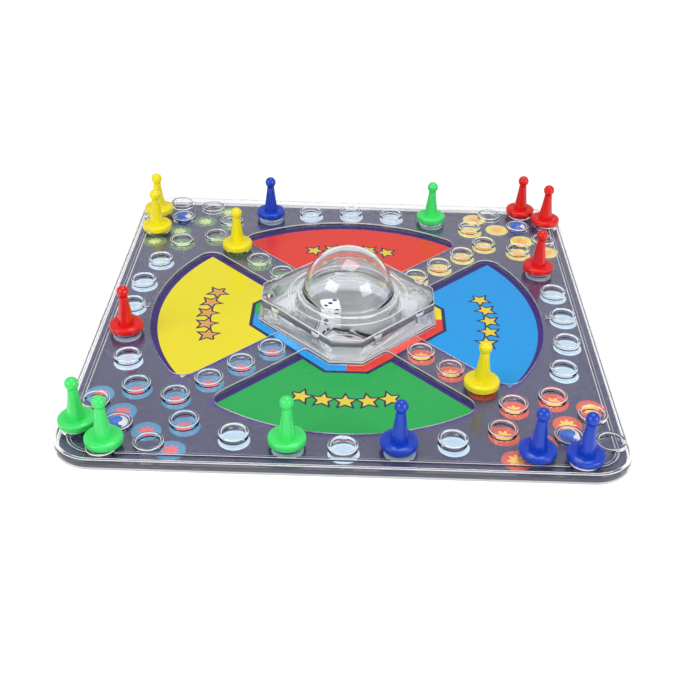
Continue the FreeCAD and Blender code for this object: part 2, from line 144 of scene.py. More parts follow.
def is_upright_corner(start: Vector, end: Vector, angle: float) -> bool:
    """Whether an edge is upright and its two faces meet at an angle in degrees."""
    upright = abs(start.z - end.z) > LEVEL and (start - end).xy.length < LEVEL
    return upright and angle > CORNER_ANGLE


def is_rounded(normal: Vector, least: float = STEEP, most: float = 0.95) -> bool:
    """Whether a normal lies between a wall's and a level face's, as on a rounded edge."""
    return least < abs(normal.z) < most


class Fuse(Enum):
    """How one shape is combined with another."""

    JOIN = "UNION"
    CUT = "DIFFERENCE"


class Bench:
    """A mesh under work, shaped in edit mode with operators and finished with modifiers."""

    def __init__(self, obj: bpy.types.Object) -> None:
        """Hold the object that is worked on."""
        self.obj = obj

    @staticmethod
    def clear() -> None:
        """Leave edit mode and deselect everything."""
        if bpy.context.mode != "OBJECT":
            bpy.ops.object.mode_set(mode="OBJECT")
        bpy.ops.object.select_all(action="DESELECT")

    @classmethod
    def started(cls) -> "Bench":
        """The primitive that was just added."""
        return cls(bpy.context.active_object)

    @classmethod
    def block(cls, low: Sequence[float], high: Sequence[float]) -> "Bench":
        """A box between two corners.

        Args:
            low: Its lowest corner.
            high: Its highest corner.

        Returns:
            The box on its bench.
        """
        cls.clear()
        middle = [(a + b) / 2 for a, b in zip(low, high)]
        bpy.ops.mesh.primitive_cube_add(size=1, location=middle)
        bench = cls.started()
        bench.obj.scale = [b - a for a, b in zip(low, high)]
        bench.settle()
        return bench

    @classmethod
    def slab(cls, half: float, corner: float, bottom: float, top: float) -> "Bench":
        """A square slab with rounded corners about the board's axis.

        Args:
            half: Half its width.
            corner: The radius of its corners.
            bottom: The height of its lower face.
            top: The height of its upper face.

        Returns:
            The slab on its bench.
        """
        bench = cls.block((-half, -half, bottom), (half, half, top))
        with bench.editing():
            bench.round_uprights(corner, CORNER_STEPS)
        return bench

    @classmethod
    def disc(cls, radius: float, bottom: float, top: float, sides: int, turn: float = 0) -> "Bench":
        """An upright round or many-sided bar about the board's axis.

        Args:
            radius: Its corner radius.
            bottom: The height of its lower face.
            top: The height of its upper face.
            sides: How many sides it has.
            turn: How far its first corner is turned, in degrees.

        Returns:
            The bar on its bench.
        """
        cls.clear()
        bpy.ops.mesh.primitive_circle_add(
            vertices=sides, radius=radius, fill_type="NGON", location=(0, 0, bottom)
        )
        bench = cls.started()
        bench.obj.rotation_euler.z = math.radians(turn)
        bench.settle()
        with bench.editing():
            bpy.ops.mesh.select_all(action="SELECT")
            bench.extrude(top - bottom)
            bench.outwards()
        return bench

    @classmethod
    def lathe(cls, outline: Sequence[Point], steps: int) -> "Bench":
        """A solid of revolution about the board's axis.

        Args:
            outline: Its half section as (radius, height) points. It closes on itself, or starts
                and ends on the axis.
            steps: How many steps the spin takes.

        Returns:
            The closed solid on its bench.
        """
        on_axis = outline[0][0] == 0 and outline[-1][0] == 0
        route = list(outline) if on_axis else [*outline, outline[0]]
        bench = cls.wire([(radius, 0, height) for radius, height in route])
        with bench.editing():
            bpy.ops.mesh.select_all(action="SELECT")
            bpy.ops.mesh.spin(steps=steps, angle=2 * math.pi, center=(0, 0, 0), axis=(0, 0, 1))
            bench.weld()
            bench.outwards()
        return bench

    @classmethod
    def plate(cls, outline: Sequence[Point], bottom: float, top: float) -> "Bench":
        """An upright bar over a closed outline.

        Args:
            outline: Its corners as (x, y) points.
            bottom: The height of its lower face.
            top: The height of its upper face.

        Returns:
            The bar on its bench.
        """
        bench = cls.wire([(x, y, bottom) for x, y in [*outline, outline[0]]])
        with bench.editing():
            bpy.ops.mesh.select_all(action="SELECT")
            bpy.ops.mesh.edge_face_add()
            bench.extrude(top - bottom)
            bench.outwards()
        return bench

    @classmethod
    def wire(cls, route: Sequence[Place]) -> "Bench":
        """A wire through points, drawn out of one point.

        Args:
            route: Its points. Where the last is the first again, the wire closes.

        Returns:
            The wire on its bench.
        """
        cls.clear()
        bpy.ops.mesh.primitive_plane_add(size=1, location=(0, 0, 0))
        bench = cls.started()
        with bench.editing():
            bpy.ops.mesh.select_all(action="SELECT")
            bpy.ops.mesh.merge(type="CENTER")
            bpy.ops.transform.translate(value=route[0])
            for start, end in zip(route, route[1:]):
                step = tuple(b - a for a, b in zip(start, end))
                bpy.ops.mesh.extrude_region_move(TRANSFORM_OT_translate={"value": step})
            bench.weld()
        return bench

    def take(self) -> None:
        """Select this object alone and make it the active one."""
        self.clear()
        self.obj.select_set(True)
        bpy.context.view_layer.objects.active = self.obj

    @contextmanager
    def editing(self) -> Iterator["Bench"]:
        """Edit this mesh alone with nothing selected in it, and leave edit mode at the end.

        Yields:
            This bench, in edit mode.
        """
        self.take()
        bpy.ops.object.mode_set(mode="EDIT")
        bpy.ops.mesh.select_mode(type="VERT")
        bpy.ops.mesh.select_all(action="DESELECT")
        yield self
        bpy.ops.object.mode_set(mode="OBJECT")

    def weld(self) -> None:
        """Merge the points that lie on each other and select everything, in edit mode."""
        bpy.ops.mesh.select_all(action="SELECT")
        bpy.ops.mesh.remove_doubles(threshold=WELD)
        bpy.ops.mesh.select_all(action="SELECT")

    def outwards(self) -> None:
        """Turn every face outwards, in edit mode."""
        bpy.ops.mesh.select_all(action="SELECT")
        bpy.ops.mesh.normals_make_consistent(inside=False)

    def settle(self) -> None:
        """Bring the object's place, turn and scale into its mesh."""
        self.take()
        bpy.ops.object.transform_apply(location=True, rotation=True, scale=True)

    def pick_faces(self, test: FaceTest) -> None:
        """Select the faces that pass a test, in edit mode.

        Args:
            test: Whether a face is picked, from its middle and its normal.
        """
        bpy.ops.mesh.select_mode(type="FACE")
        bpy.ops.mesh.select_all(action="DESELECT")
        mesh = bmesh.from_edit_mesh(self.obj.data)
        for face in mesh.faces:
            if test(face.calc_center_median(), face.normal):
                face.select_set(True)
        bmesh.update_edit_mesh(self.obj.data)

    def pick_edges(self, test: EdgeTest) -> None:
        """Select the edges that pass a test, in edit mode.

        Args:
            test: Whether an edge is picked, from its two ends and the angle between its faces in
                degrees.
        """
        bpy.ops.mesh.select_mode(type="EDGE")
        bpy.ops.mesh.select_all(action="DESELECT")
        mesh = bmesh.from_edit_mesh(self.obj.data)
        for edge in mesh.edges:
            angle = math.degrees(edge.calc_face_angle(0.0))
            if test(edge.verts[0].co, edge.verts[1].co, angle):
                edge.select_set(True)
        bmesh.update_edit_mesh(self.obj.data)

    def extrude(self, rise: float) -> None:
        """Draw what is selected up or down as new walls, in edit mode."""
        bpy.ops.mesh.extrude_region_move(TRANSFORM_OT_translate={"value": (0, 0, rise)})

    def grow(self, share: float) -> None:
        """Scale what is selected about the board's axis, in edit mode."""
        bpy.ops.transform.resize(value=(share, share, 1), center_override=(0, 0, 0))

    def twist(self, degrees: float) -> None:
        """Turn what is selected about the board's axis, in edit mode."""
        bpy.ops.transform.rotate(value=math.radians(degrees), orient_axis="Z", center_override=(0, 0, 0))

    def round_uprights(self, radius: float, segments: int) -> None:
        """Round the upright corners, or cut them flat with one segment, in edit mode."""
        self.pick_edges(is_upright_corner)
        bpy.ops.mesh.bevel(offset=radius, offset_type="OFFSET", segments=segments, affect="EDGES")

    def round_top(self, height: float, radius: float, segments: int) -> None:
        """Round the sharp edges that lie at the height of the piece's top, in edit mode."""
        self.pick_edges(lambda a, b, angle: min(a.z, b.z) > height - LEVEL and angle > SHARP_ANGLE)
        bpy.ops.mesh.bevel(offset=radius, segments=segments, affect="EDGES")

    def twin(self) -> "Bench":
        """A copy with a mesh of its own.

        Returns:
            The copy on its bench.
        """
        obj = self.obj.copy()
        obj.data = self.obj.data.copy()
        bpy.context.collection.objects.link(obj)
        return Bench(obj)

    def move(self, x: float, y: float, z: float = 0, turn: float = 0) -> "Bench":
        """Turn the mesh about the board's axis, then shift it.

        Args:
            x: How far it goes right.
            y: How far it goes away from the front.
            z: How far it goes up.
            turn: How far it is turned, in degrees.

        Returns:
            This bench.
        """
        self.obj.rotation_euler.z = math.radians(turn)
        self.obj.location = (x, y, z)
        self.settle()
        return self

    def around(self, place: Point = (0, 0), turns: Sequence[float] = QUARTERS) -> "Bench":
        """Copies of this piece round the board's axis, in place of the piece itself.

        Args:
            place: Where the first copy goes, before its turn.
            turns: Each copy's turn about the board's axis, in degrees.

        Returns:
            The copies as one mesh on its bench.
        """
        copies = []
        for degrees in turns:
            x, y = polar(math.hypot(*place), math.degrees(math.atan2(place[1], place[0])) + degrees)
            copies.append(self.twin().move(x, y, turn=degrees))
        self.discard()
        return Bench.gathered(copies)

    @classmethod
    def gathered(cls, benches: Sequence["Bench"]) -> "Bench":
        """Several meshes as one object, with no surface changed.

        Args:
            benches: The meshes, of which the first takes in the others.

        Returns:
            The first bench's object on a new bench.
        """
        cls.clear()
        for bench in benches:
            bench.obj.select_set(True)
        bpy.context.view_layer.objects.active = benches[0].obj
        bpy.ops.object.join()
        return cls(benches[0].obj)

    def discard(self) -> None:
        """Remove the object and its mesh."""
        mesh = self.obj.data
        bpy.data.objects.remove(self.obj)
        bpy.data.meshes.remove(mesh)

    def apply(self, kind: str, **settings: object) -> "Bench":
        """Add a modifier and apply it.

        Args:
            kind: The modifier's type.
            **settings: Its properties by name.

        Returns:
            This bench.
        """
        self.take()
        modifier = self.obj.modifiers.new("step", kind)
        for name, value in settings.items():
            setattr(modifier, name, value)
        bpy.ops.object.modifier_apply(modifier="step")
        return self

    def combine(self, other: "Bench", how: Fuse) -> "Bench":
        """Join another closed mesh to this one, or cut it out.

        Args:
            other: The other mesh, which is then removed.
            how: Whether it is joined or cut out.

        Returns:
            This bench.
        """
        self.apply("BOOLEAN", operation=how.value, object=other.obj, solver="EXACT")
        other.discard()
        return self

    def soften(self, width: float, segments: int, angle: float = 35) -> "Bench":
        """Round every edge sharper than an angle in degrees."""
        settings = {"width": width, "segments": segments, "angle_limit": math.radians(angle)}
        return self.apply("BEVEL", limit_method="ANGLE", **settings)

    def smooth(self, angle: float = 40) -> "Bench":
        """Shade the mesh smooth.

        Args:
            angle: The angle in degrees past which an edge stays sharp.

        Returns:
            This bench.
        """
        self.take()
        bpy.ops.object.shade_smooth_by_angle(angle=math.radians(angle))
        return self

    def finish(self, name: str, body: str, slot: str, stands_for: Sequence[str]) -> bpy.types.Object:
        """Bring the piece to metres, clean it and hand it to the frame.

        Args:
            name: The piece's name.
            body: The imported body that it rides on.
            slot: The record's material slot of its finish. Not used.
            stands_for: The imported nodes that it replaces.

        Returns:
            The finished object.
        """
        with self.editing():
            self.weld()
            bpy.ops.mesh.dissolve_degenerate(threshold=SLIVER)
        self.obj.scale = (METRES, METRES, METRES)
        self.settle()
        self.obj.name = name
        self.obj.data.name = name
        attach(self.obj, body)
        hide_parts(*stands_for)
        LOG.info("%s: %d faces on %s", name, len(self.obj.data.polygons), body)
        return self.obj


class Tap:
    """One shader socket, on which sums are written as Python expressions."""

    def __init__(self, graph: "Graph", socket: bpy.types.NodeSocket) -> None:
        """Hold the graph and the output socket that is tapped."""
        self.graph = graph
        self.socket = socket

    def maths(self, operation: str, *others: "Tap | float") -> "Tap":
        """A Math node fed with this value and the others."""
        return self.graph.maths(operation, self, *others)

    def __add__(self, other: "Tap | float") -> "Tap":
        """This plus other."""
        return self.graph.maths("ADD", self, other)

    __radd__ = __add__

    def __sub__(self, other: "Tap | float") -> "Tap":
        """This less other."""
        return self.graph.maths("SUBTRACT", self, other)

    def __rsub__(self, other: float) -> "Tap":
        """Other less this."""
        return self.graph.maths("SUBTRACT", other, self)

    def __mul__(self, other: "Tap | float") -> "Tap":
        """This times other."""
        return self.graph.maths("MULTIPLY", self, other)

    __rmul__ = __mul__

    def __truediv__(self, other: "Tap | float") -> "Tap":
        """This over other."""
        return self.graph.maths("DIVIDE", self, other)

    def __rtruediv__(self, other: float) -> "Tap":
        """Other over this."""
        return self.graph.maths("DIVIDE", other, self)

    def __gt__(self, other: "Tap | float") -> "Tap":
        """One where this is above other, and nought elsewhere."""
        return self.graph.maths("GREATER_THAN", self, other)

    def __lt__(self, other: "Tap | float") -> "Tap":
        """One where this is below other, and nought elsewhere."""
        return self.graph.maths("LESS_THAN", self, other)

    def __abs__(self) -> "Tap":
        """This without its sign."""
        return self.graph.maths("ABSOLUTE", self)

    def least(self, other: "Tap | float") -> "Tap":
        """The lesser of this and other."""
        return self.graph.maths("MINIMUM", self, other)

    def most(self, other: "Tap | float") -> "Tap":
        """The greater of this and other."""
        return self.graph.maths("MAXIMUM", self, other)

    def within(self, soft: float = CRISP) -> "Tap":
        """One where this distance is below nought, with a soft edge of the given width."""
        return self.graph.maths("MULTIPLY_ADD", self, -1 / soft, 0.5, clamp=True)


Value = Tap | float | Sequence[float]


def length(x: Tap, y: Tap) -> Tap:
    """How far a point is from nought."""
    return (x * x + y * y).maths("SQRT")


class Graph:
    """The node tree of a material or of the world, written as expressions."""

    def __init__(self, owner: bpy.types.Material | bpy.types.World) -> None:
        """Empty a node tree and hold it.

        Args:
            owner: The material or world whose tree it is.
        """
        owner.use_nodes = True
        self.owner = owner
        self.tree = owner.node_tree
        self.tree.nodes.clear()

    @classmethod
    def material(cls, name: str) -> "Graph":
        """The empty graph of a new material."""
        return cls(bpy.data.materials.new(name))

    def node(
        self, kind: str, settings: dict[str, object], values: dict[str | int, Value]
    ) -> bpy.types.Node:
        """Any node, with its settings set first and then its sockets.

        Args:
            kind: The node's type.
            settings: Its properties by name.
            values: Its sockets by name or index, as numbers, colours or taps.

        Returns:
            The node.
        """
        node = self.tree.nodes.new(kind)
        for name, value in settings.items():
            setattr(node, name, value)
        for key, value in values.items():
            if isinstance(value, Tap):
                self.tree.links.new(value.socket, node.inputs[key])
            else:
                node.inputs[key].default_value = value
        return node

    def tap(self, node: bpy.types.Node, output: str | int = 0) -> Tap:
        """One of a node's outputs."""
        return Tap(self, node.outputs[output])

    def maths(self, operation: str, *values: Tap | float, clamp: bool = False) -> Tap:
        """A Math node's result."""
        settings = {"operation": operation, "use_clamp": clamp}
        return self.tap(self.node("ShaderNodeMath", settings, dict(enumerate(values))))

    def blend(self, share: Value, first: Value, second: Value) -> Tap:
        """A mix of two colours.

        Args:
            share: How much of the second it has, from nought to one.
            first: The first colour.
            second: The second colour.

        Returns:
            The mixed colour.
        """
        settings = {"data_type": "RGBA", "clamp_factor": True}
        values = {0: share, 6: self.opaque(first), 7: self.opaque(second)}
        return self.tap(self.node("ShaderNodeMix", settings, values), 2)

    @staticmethod
    def opaque(colour: Value) -> Value:
        """A colour with its fourth number, or a tap as it is."""
        return colour if isinstance(colour, Tap) else (*colour, 1.0)

    def place(self) -> Tap:
        """The point on the piece, in metres, in the frame's axes."""
        return self.tap(self.node("ShaderNodeTexCoord", {}, {}), "Object")

    def parts(self, vector: Tap) -> tuple[Tap, Tap, Tap]:
        """A point taken apart.

        Args:
            vector: The point in metres.

        Returns:
            Its three numbers in millimetres.
        """
        node = self.node("ShaderNodeSeparateXYZ", {}, {0: vector})
        x, y, z = (self.tap(node, index) / METRES for index in range(3))
        return x, y, z

    def speckle(self, grain: float, detail: float, stretch: Sequence[float] = (1, 1, 1)) -> Tap:
        """Noise from nought to one.

        Args:
            grain: The size of its grain in millimetres.
            detail: How many finer layers it has.
            stretch: How much finer it is along each axis.

        Returns:
            The noise.
        """
        scaled = self.tap(self.node("ShaderNodeMapping", {}, {"Vector": self.place(), "Scale": stretch}))
        values = {"Vector": scaled, "Scale": 1 / (grain * METRES), "Detail": detail}
        return self.tap(self.node("ShaderNodeTexNoise", {}, values))

    def bump(self, height: Tap, depth: float) -> Tap:
        """A normal that follows a height, whose full range is a depth in millimetres."""
        values = {"Height": height, "Distance": depth * METRES, "Strength": 1.0}
        return self.tap(self.node("ShaderNodeBump", {}, values))

    def surface(self, **values: Value) -> Tap:
        """A Principled shader with its sockets, given by their names with _ for a space."""
        named = {name.replace("_", " "): value for name, value in values.items()}
        return self.tap(self.node("ShaderNodeBsdfPrincipled", {}, named))

    def light_path(self, ray: str) -> Tap:
        """One for a kind of ray, and nought for others."""
        return self.tap(self.node("ShaderNodeLightPath", {}, {}), ray)

    def between(self, share: Tap, first: Tap, second: Tap) -> Tap:
        """A shader between first, at nought, and second, at one."""
        return self.tap(self.node("ShaderNodeMixShader", {}, {0: share, 1: first, 2: second}))

    def done(self, shader: Tap) -> bpy.types.Material:
        """Join a shader to the output and give the material."""
        self.node("ShaderNodeOutputMaterial", {}, {"Surface": shader})
        return self.owner


def dress(obj: bpy.types.Object, *materials: bpy.types.Material) -> None:
    """Give a piece its finishes, of which every face takes the first.

    Args:
        obj: The piece.
        *materials: The finishes in the order of their slots.
    """
    obj.data.materials.clear()
    for material in materials:
        obj.data.materials.append(material)


def mark_faces(obj: bpy.types.Object, test: FaceTest, finish: int = 1) -> None:
    """Give another finish to a finished piece's faces that pass a test.

    Args:
        obj: The piece, dressed in all its finishes.
        test: Whether a face is marked, from its middle in millimetres and its normal.
        finish: The finish by its place in the piece's list.
    """
    marked = [face for face in obj.data.polygons if test(face.center / METRES, face.normal)]
    for face in marked:
        face.material_index = finish
    LOG.info("%s: %d faces in finish %d", obj.name, len(marked), finish)


@dataclass(frozen=True)
class ClearPlastic:
    """Clear moulded plastic, through which lamps also light what lies below.

    Attributes:
        name: The finish's name.
        tint: The colour of light that has passed through.
        haze: The roughness of a worn spot.
        polish: The roughness of a clean spot.
        index: Its refractive index.
        bloom: The share of a diffuse scatter in its look: a milky haze in frosted and blue plastic, a
            painted highlight on edges and a painted shade on walls.
        pale: The colour of that scatter: pale for haze and painted highlight, near black for painted
            shade.
        painted_light_below: The height in millimetres below which the scatter turns into painted light,
            where the white floor would show through.
        painted_light: The colour of that painted light.
        sheen: The roughness of what scatters the light.
        uneven: How far the share of scattered light varies.
        scuff: The size of a worn spot in millimetres.
        ripple: The size of a moulding ripple in millimetres.
        ripple_depth: The depth of the ripples in millimetres.
    """

    name: str
    tint: Colour = (0.97, 0.975, 0.985)
    haze: float = 0.09
    polish: float = 0.02
    index: float = 1.49
    bloom: float = 0.0
    pale: Colour = (0.80, 0.81, 0.84)
    painted_light_below: float = -1.0
    painted_light: Colour = (0.72, 0.72, 0.74)
    sheen: float = 0.35
    uneven: float = 0.2
    scuff: float = 22.0
    ripple: float = 9.0
    ripple_depth: float = 0.015

    def build(self) -> bpy.types.Material:
        """Mix the clear shader with its scatter, and let light through for shadows.

        Returns:
            The finished material.
        """
        graph = Graph.material(self.name)
        scuffs = graph.speckle(self.scuff, 3)
        rough = scuffs * (self.haze - self.polish) + self.polish
        ripple = graph.bump(graph.speckle(self.ripple, 1), self.ripple_depth)
        tint = (*self.tint, 1)
        clear = graph.surface(
            Base_Color=tint, Roughness=rough, IOR=self.index, Transmission_Weight=1.0, Normal=ripple
        )
        if self.bloom > 0:
            # Below painted_light_below the scatter takes the painted light's colour in place of its own.
            height = graph.parts(graph.place())[2] - self.painted_light_below
            tone = graph.blend(height.within(SOFT), self.pale, self.painted_light)
            scatter = graph.surface(Base_Color=tone, Roughness=self.sheen)
            share = scuffs * self.uneven + (self.bloom - self.uneven / 2)
            clear = graph.between(share, clear, scatter)
        shade = graph.tap(graph.node("ShaderNodeBsdfTransparent", {}, {"Color": tint}))
        return graph.done(graph.between(graph.light_path("Is Shadow Ray"), clear, shade))


COVER_CLEAR = ClearPlastic("clear_cover")
DOME_CLEAR = ClearPlastic("clear_dome", polish=0.004, haze=0.03)
TRAY_CLEAR = ClearPlastic("clear_tray", tint=(0.94, 0.94, 0.96), polish=0.15, haze=0.3)
HOUSING_CLEAR = ClearPlastic("housing_wall", tint=(0.93, 0.94, 0.95), polish=0.03, haze=0.12, bloom=0.16)
# Painted highlight: a near white scatter on rounded edges, lips and facets that face the light, standing
# in for the light that they catch.
EDGE_PAINTED_HIGHLIGHT = ClearPlastic("clear_edge_painted_highlight", bloom=0.88, polish=0.05, pale=(0.97, 0.97, 0.98))
# Painted shade: a near black scatter on walls through which the dark print and the shaded space below
# would show, with painted light at their foot.
PAINTED_SHADE_CLEAR = ClearPlastic(
    "clear_painted_shade", bloom=0.8, polish=0.05, pale=(0.06, 0.06, 0.10), painted_light_below=1.2
)
STUD_BLUE = ClearPlastic(
    "blue_gem",
    tint=(0.20, 0.45, 0.95),
    polish=0.01,
    haze=0.05,
    index=1.56,
    bloom=0.4,
    pale=(0.09, 0.27, 0.80),
)


@dataclass(frozen=True)
class GlossPlastic:
    """Glossy opaque moulded plastic with faint flow marks.

    Attributes:
        name: The finish's name.
        colour: Its main colour.
        deep: The colour of its darker flow marks.
        polish: The roughness of a clean spot.
        worn: How much rougher a worn spot is.
        shine: The level of its mirror light.
        coat: The weight of its clear coat.
        flow: The size of a flow mark in millimetres.
        flow_stretch: How much finer the flow marks are along each axis.
        patch: The size of a worn spot in millimetres.
        grain: The size of the skin's grain in millimetres.
        grain_depth: The depth of that grain in millimetres.
    """

    name: str
    colour: Colour
    deep: Colour
    polish: float = 0.14
    worn: float = 0.1
    shine: float = 0.4
    coat: float = 0.2
    flow: float = 7.0
    flow_stretch: Place = (1, 1, 0.4)
    patch: float = 3.0
    grain: float = 1.1
    grain_depth: float = 0.012

    def build(self) -> bpy.types.Material:
        """Vary the colour and the roughness over the piece and add a fine grain.

        Returns:
            The finished material.
        """
        graph = Graph.material(self.name)
        tone = graph.blend(graph.speckle(self.flow, 2, self.flow_stretch), self.deep, self.colour)
        rough = graph.speckle(self.patch, 2) * self.worn + self.polish
        skin = graph.bump(graph.speckle(self.grain, 2), self.grain_depth)
        surface = graph.surface(
            Base_Color=tone,
            Roughness=rough,
            Normal=skin,
            Specular_IOR_Level=self.shine,
            Coat_Weight=self.coat,
        )
        return graph.done(surface)


DIE_BODY = GlossPlastic("die_body", (0.86, 0.86, 0.86), (0.82, 0.82, 0.84))
DIE_SPOTS = GlossPlastic("die_spots", (0.008, 0.006, 0.11), (0.006, 0.005, 0.085))
PAWN_COLOURS = {
    "yellow": GlossPlastic("yellow_pawn", (1.0, 0.89, 0.010), (1.0, 0.82, 0.008)),
    "blue": GlossPlastic("blue_pawn", (0.007, 0.065, 0.62), (0.006, 0.055, 0.54)),
    "green": GlossPlastic("green_pawn", (0.07, 0.92, 0.20), (0.055, 0.84, 0.16)),
    "red": GlossPlastic("red_pawn", (0.90, 0.009, 0.008), (0.80, 0.008, 0.007)),
}


@dataclass(frozen=True)
class SpringSteel:
    """Cold rolled steel with faint round tool marks.

    Attributes:
        name: The finish's name.
        colour: Its main colour.
        stained: The colour of its darker stains.
        metal: How metallic it is.
        polish: The roughness of a clean spot.
        ring_wear: How much rougher the top of a tool mark is.
        stain_wear: How much rougher a pale spot is than a stain.
        stain: The size of a stain in millimetres.
        ring_rate: How fast the tool marks follow each other, in radians a millimetre.
        ring_depth: The depth of a tool mark in millimetres.
    """

    name: str = "spring_steel"
    colour: Colour = (0.44, 0.45, 0.46)
    stained: Colour = (0.36, 0.37, 0.38)
    metal: float = 0.85
    polish: float = 0.28
    ring_wear: float = 0.08
    stain_wear: float = 0.12
    stain: float = 12.0
    ring_rate: float = 9.0
    ring_depth: float = 0.01

    def build(self) -> bpy.types.Material:
        """Lay round tool marks about the board's axis over stained steel.

        Returns:
            The finished material.
        """
        graph = Graph.material(self.name)
        x, y, _ = graph.parts(graph.place())
        rings = (length(x, y) * self.ring_rate).maths("SINE") * 0.5 + 0.5
        stain = graph.speckle(self.stain, 3)
        rough = rings * self.ring_wear + stain * self.stain_wear + self.polish
        tone = graph.blend(stain, self.stained, self.colour)
        marks = graph.bump(rings, self.ring_depth)
        surface = graph.surface(Base_Color=tone, Metallic=self.metal, Roughness=rough, Normal=marks)
        return graph.done(surface)


@dataclass(frozen=True)
class Inks:
    """One ink for each colour of the game."""

    green: Colour
    blue: Colour
    red: Colour
    yellow: Colour

    def by_side(self, graph: Graph, at: "CardPoint") -> Tap:
        """The ink of a side: green in front, red at the back, yellow left and blue right."""
        across = graph.blend(at.right, self.yellow, self.blue)
        return graph.blend(at.upright, across, graph.blend(at.front, self.red, self.green))

    def by_corner(self, graph: Graph, at: "CardPoint") -> Tap:
        """The ink of a corner: blue and red in front, green and yellow at the back."""
        near = graph.blend(at.right, self.blue, self.red)
        return graph.blend(at.front, graph.blend(at.right, self.green, self.yellow), near)


NAVY: Colour = (0.02, 0.02, 0.10)
# The inks of the sectors and the middle band, of the discs, and of the bursts on them.
BRIGHT = Inks(
    green=(0.02, 0.47, 0.10),
    blue=(0.008, 0.38, 0.92),
    red=(0.90, 0.052, 0.03),
    yellow=(0.96, 0.84, 0.02),
)
DULL = Inks(
    green=(0.09, 0.22, 0.10),
    blue=(0.05, 0.24, 0.42),
    red=(0.62, 0.075, 0.045),
    yellow=(0.70, 0.60, 0.15),
)
BURSTS = Inks(
    green=(0.58, 0.66, 0.28),
    blue=(0.75, 0.11, 0.13),
    red=(0.88, 0.52, 0.10),
    yellow=(0.82, 0.33, 0.06),
)


@dataclass(frozen=True)
class CardPoint:
    """A point on the card, measured in the ways in which its print repeats.

    Attributes:
        side: Its distance from the middle towards the nearest side.
        along: Its distance from that side's middle line.
        diagonal: Its distance from the middle towards the nearest corner.
        off: Its distance from that corner's diagonal.
        radius: Its distance from the middle.
        front: One in the front half, and nought elsewhere.
        right: One in the right half, and nought elsewhere.
        upright: One nearest the front or the back side, and nought elsewhere.
    """

    side: Tap
    along: Tap
    diagonal: Tap
    off: Tap
    radius: Tap
    front: Tap
    right: Tap
    upright: Tap

    @classmethod
    def at(cls, x: Tap, y: Tap) -> "CardPoint":
        """Measure a point.

        Args:
            x: Its distance right of the middle.
            y: Its distance behind the middle.

        Returns:
            The point with its measures.
        """
        ax, ay = abs(x), abs(y)
        side, along = ax.most(ay), ax.least(ay)
        diagonal, off = (ax + ay) / ROOT2, (side - along) / ROOT2
        return cls(side, along, diagonal, off, length(x, y), y < 0.0, x > 0.0, ay > ax)


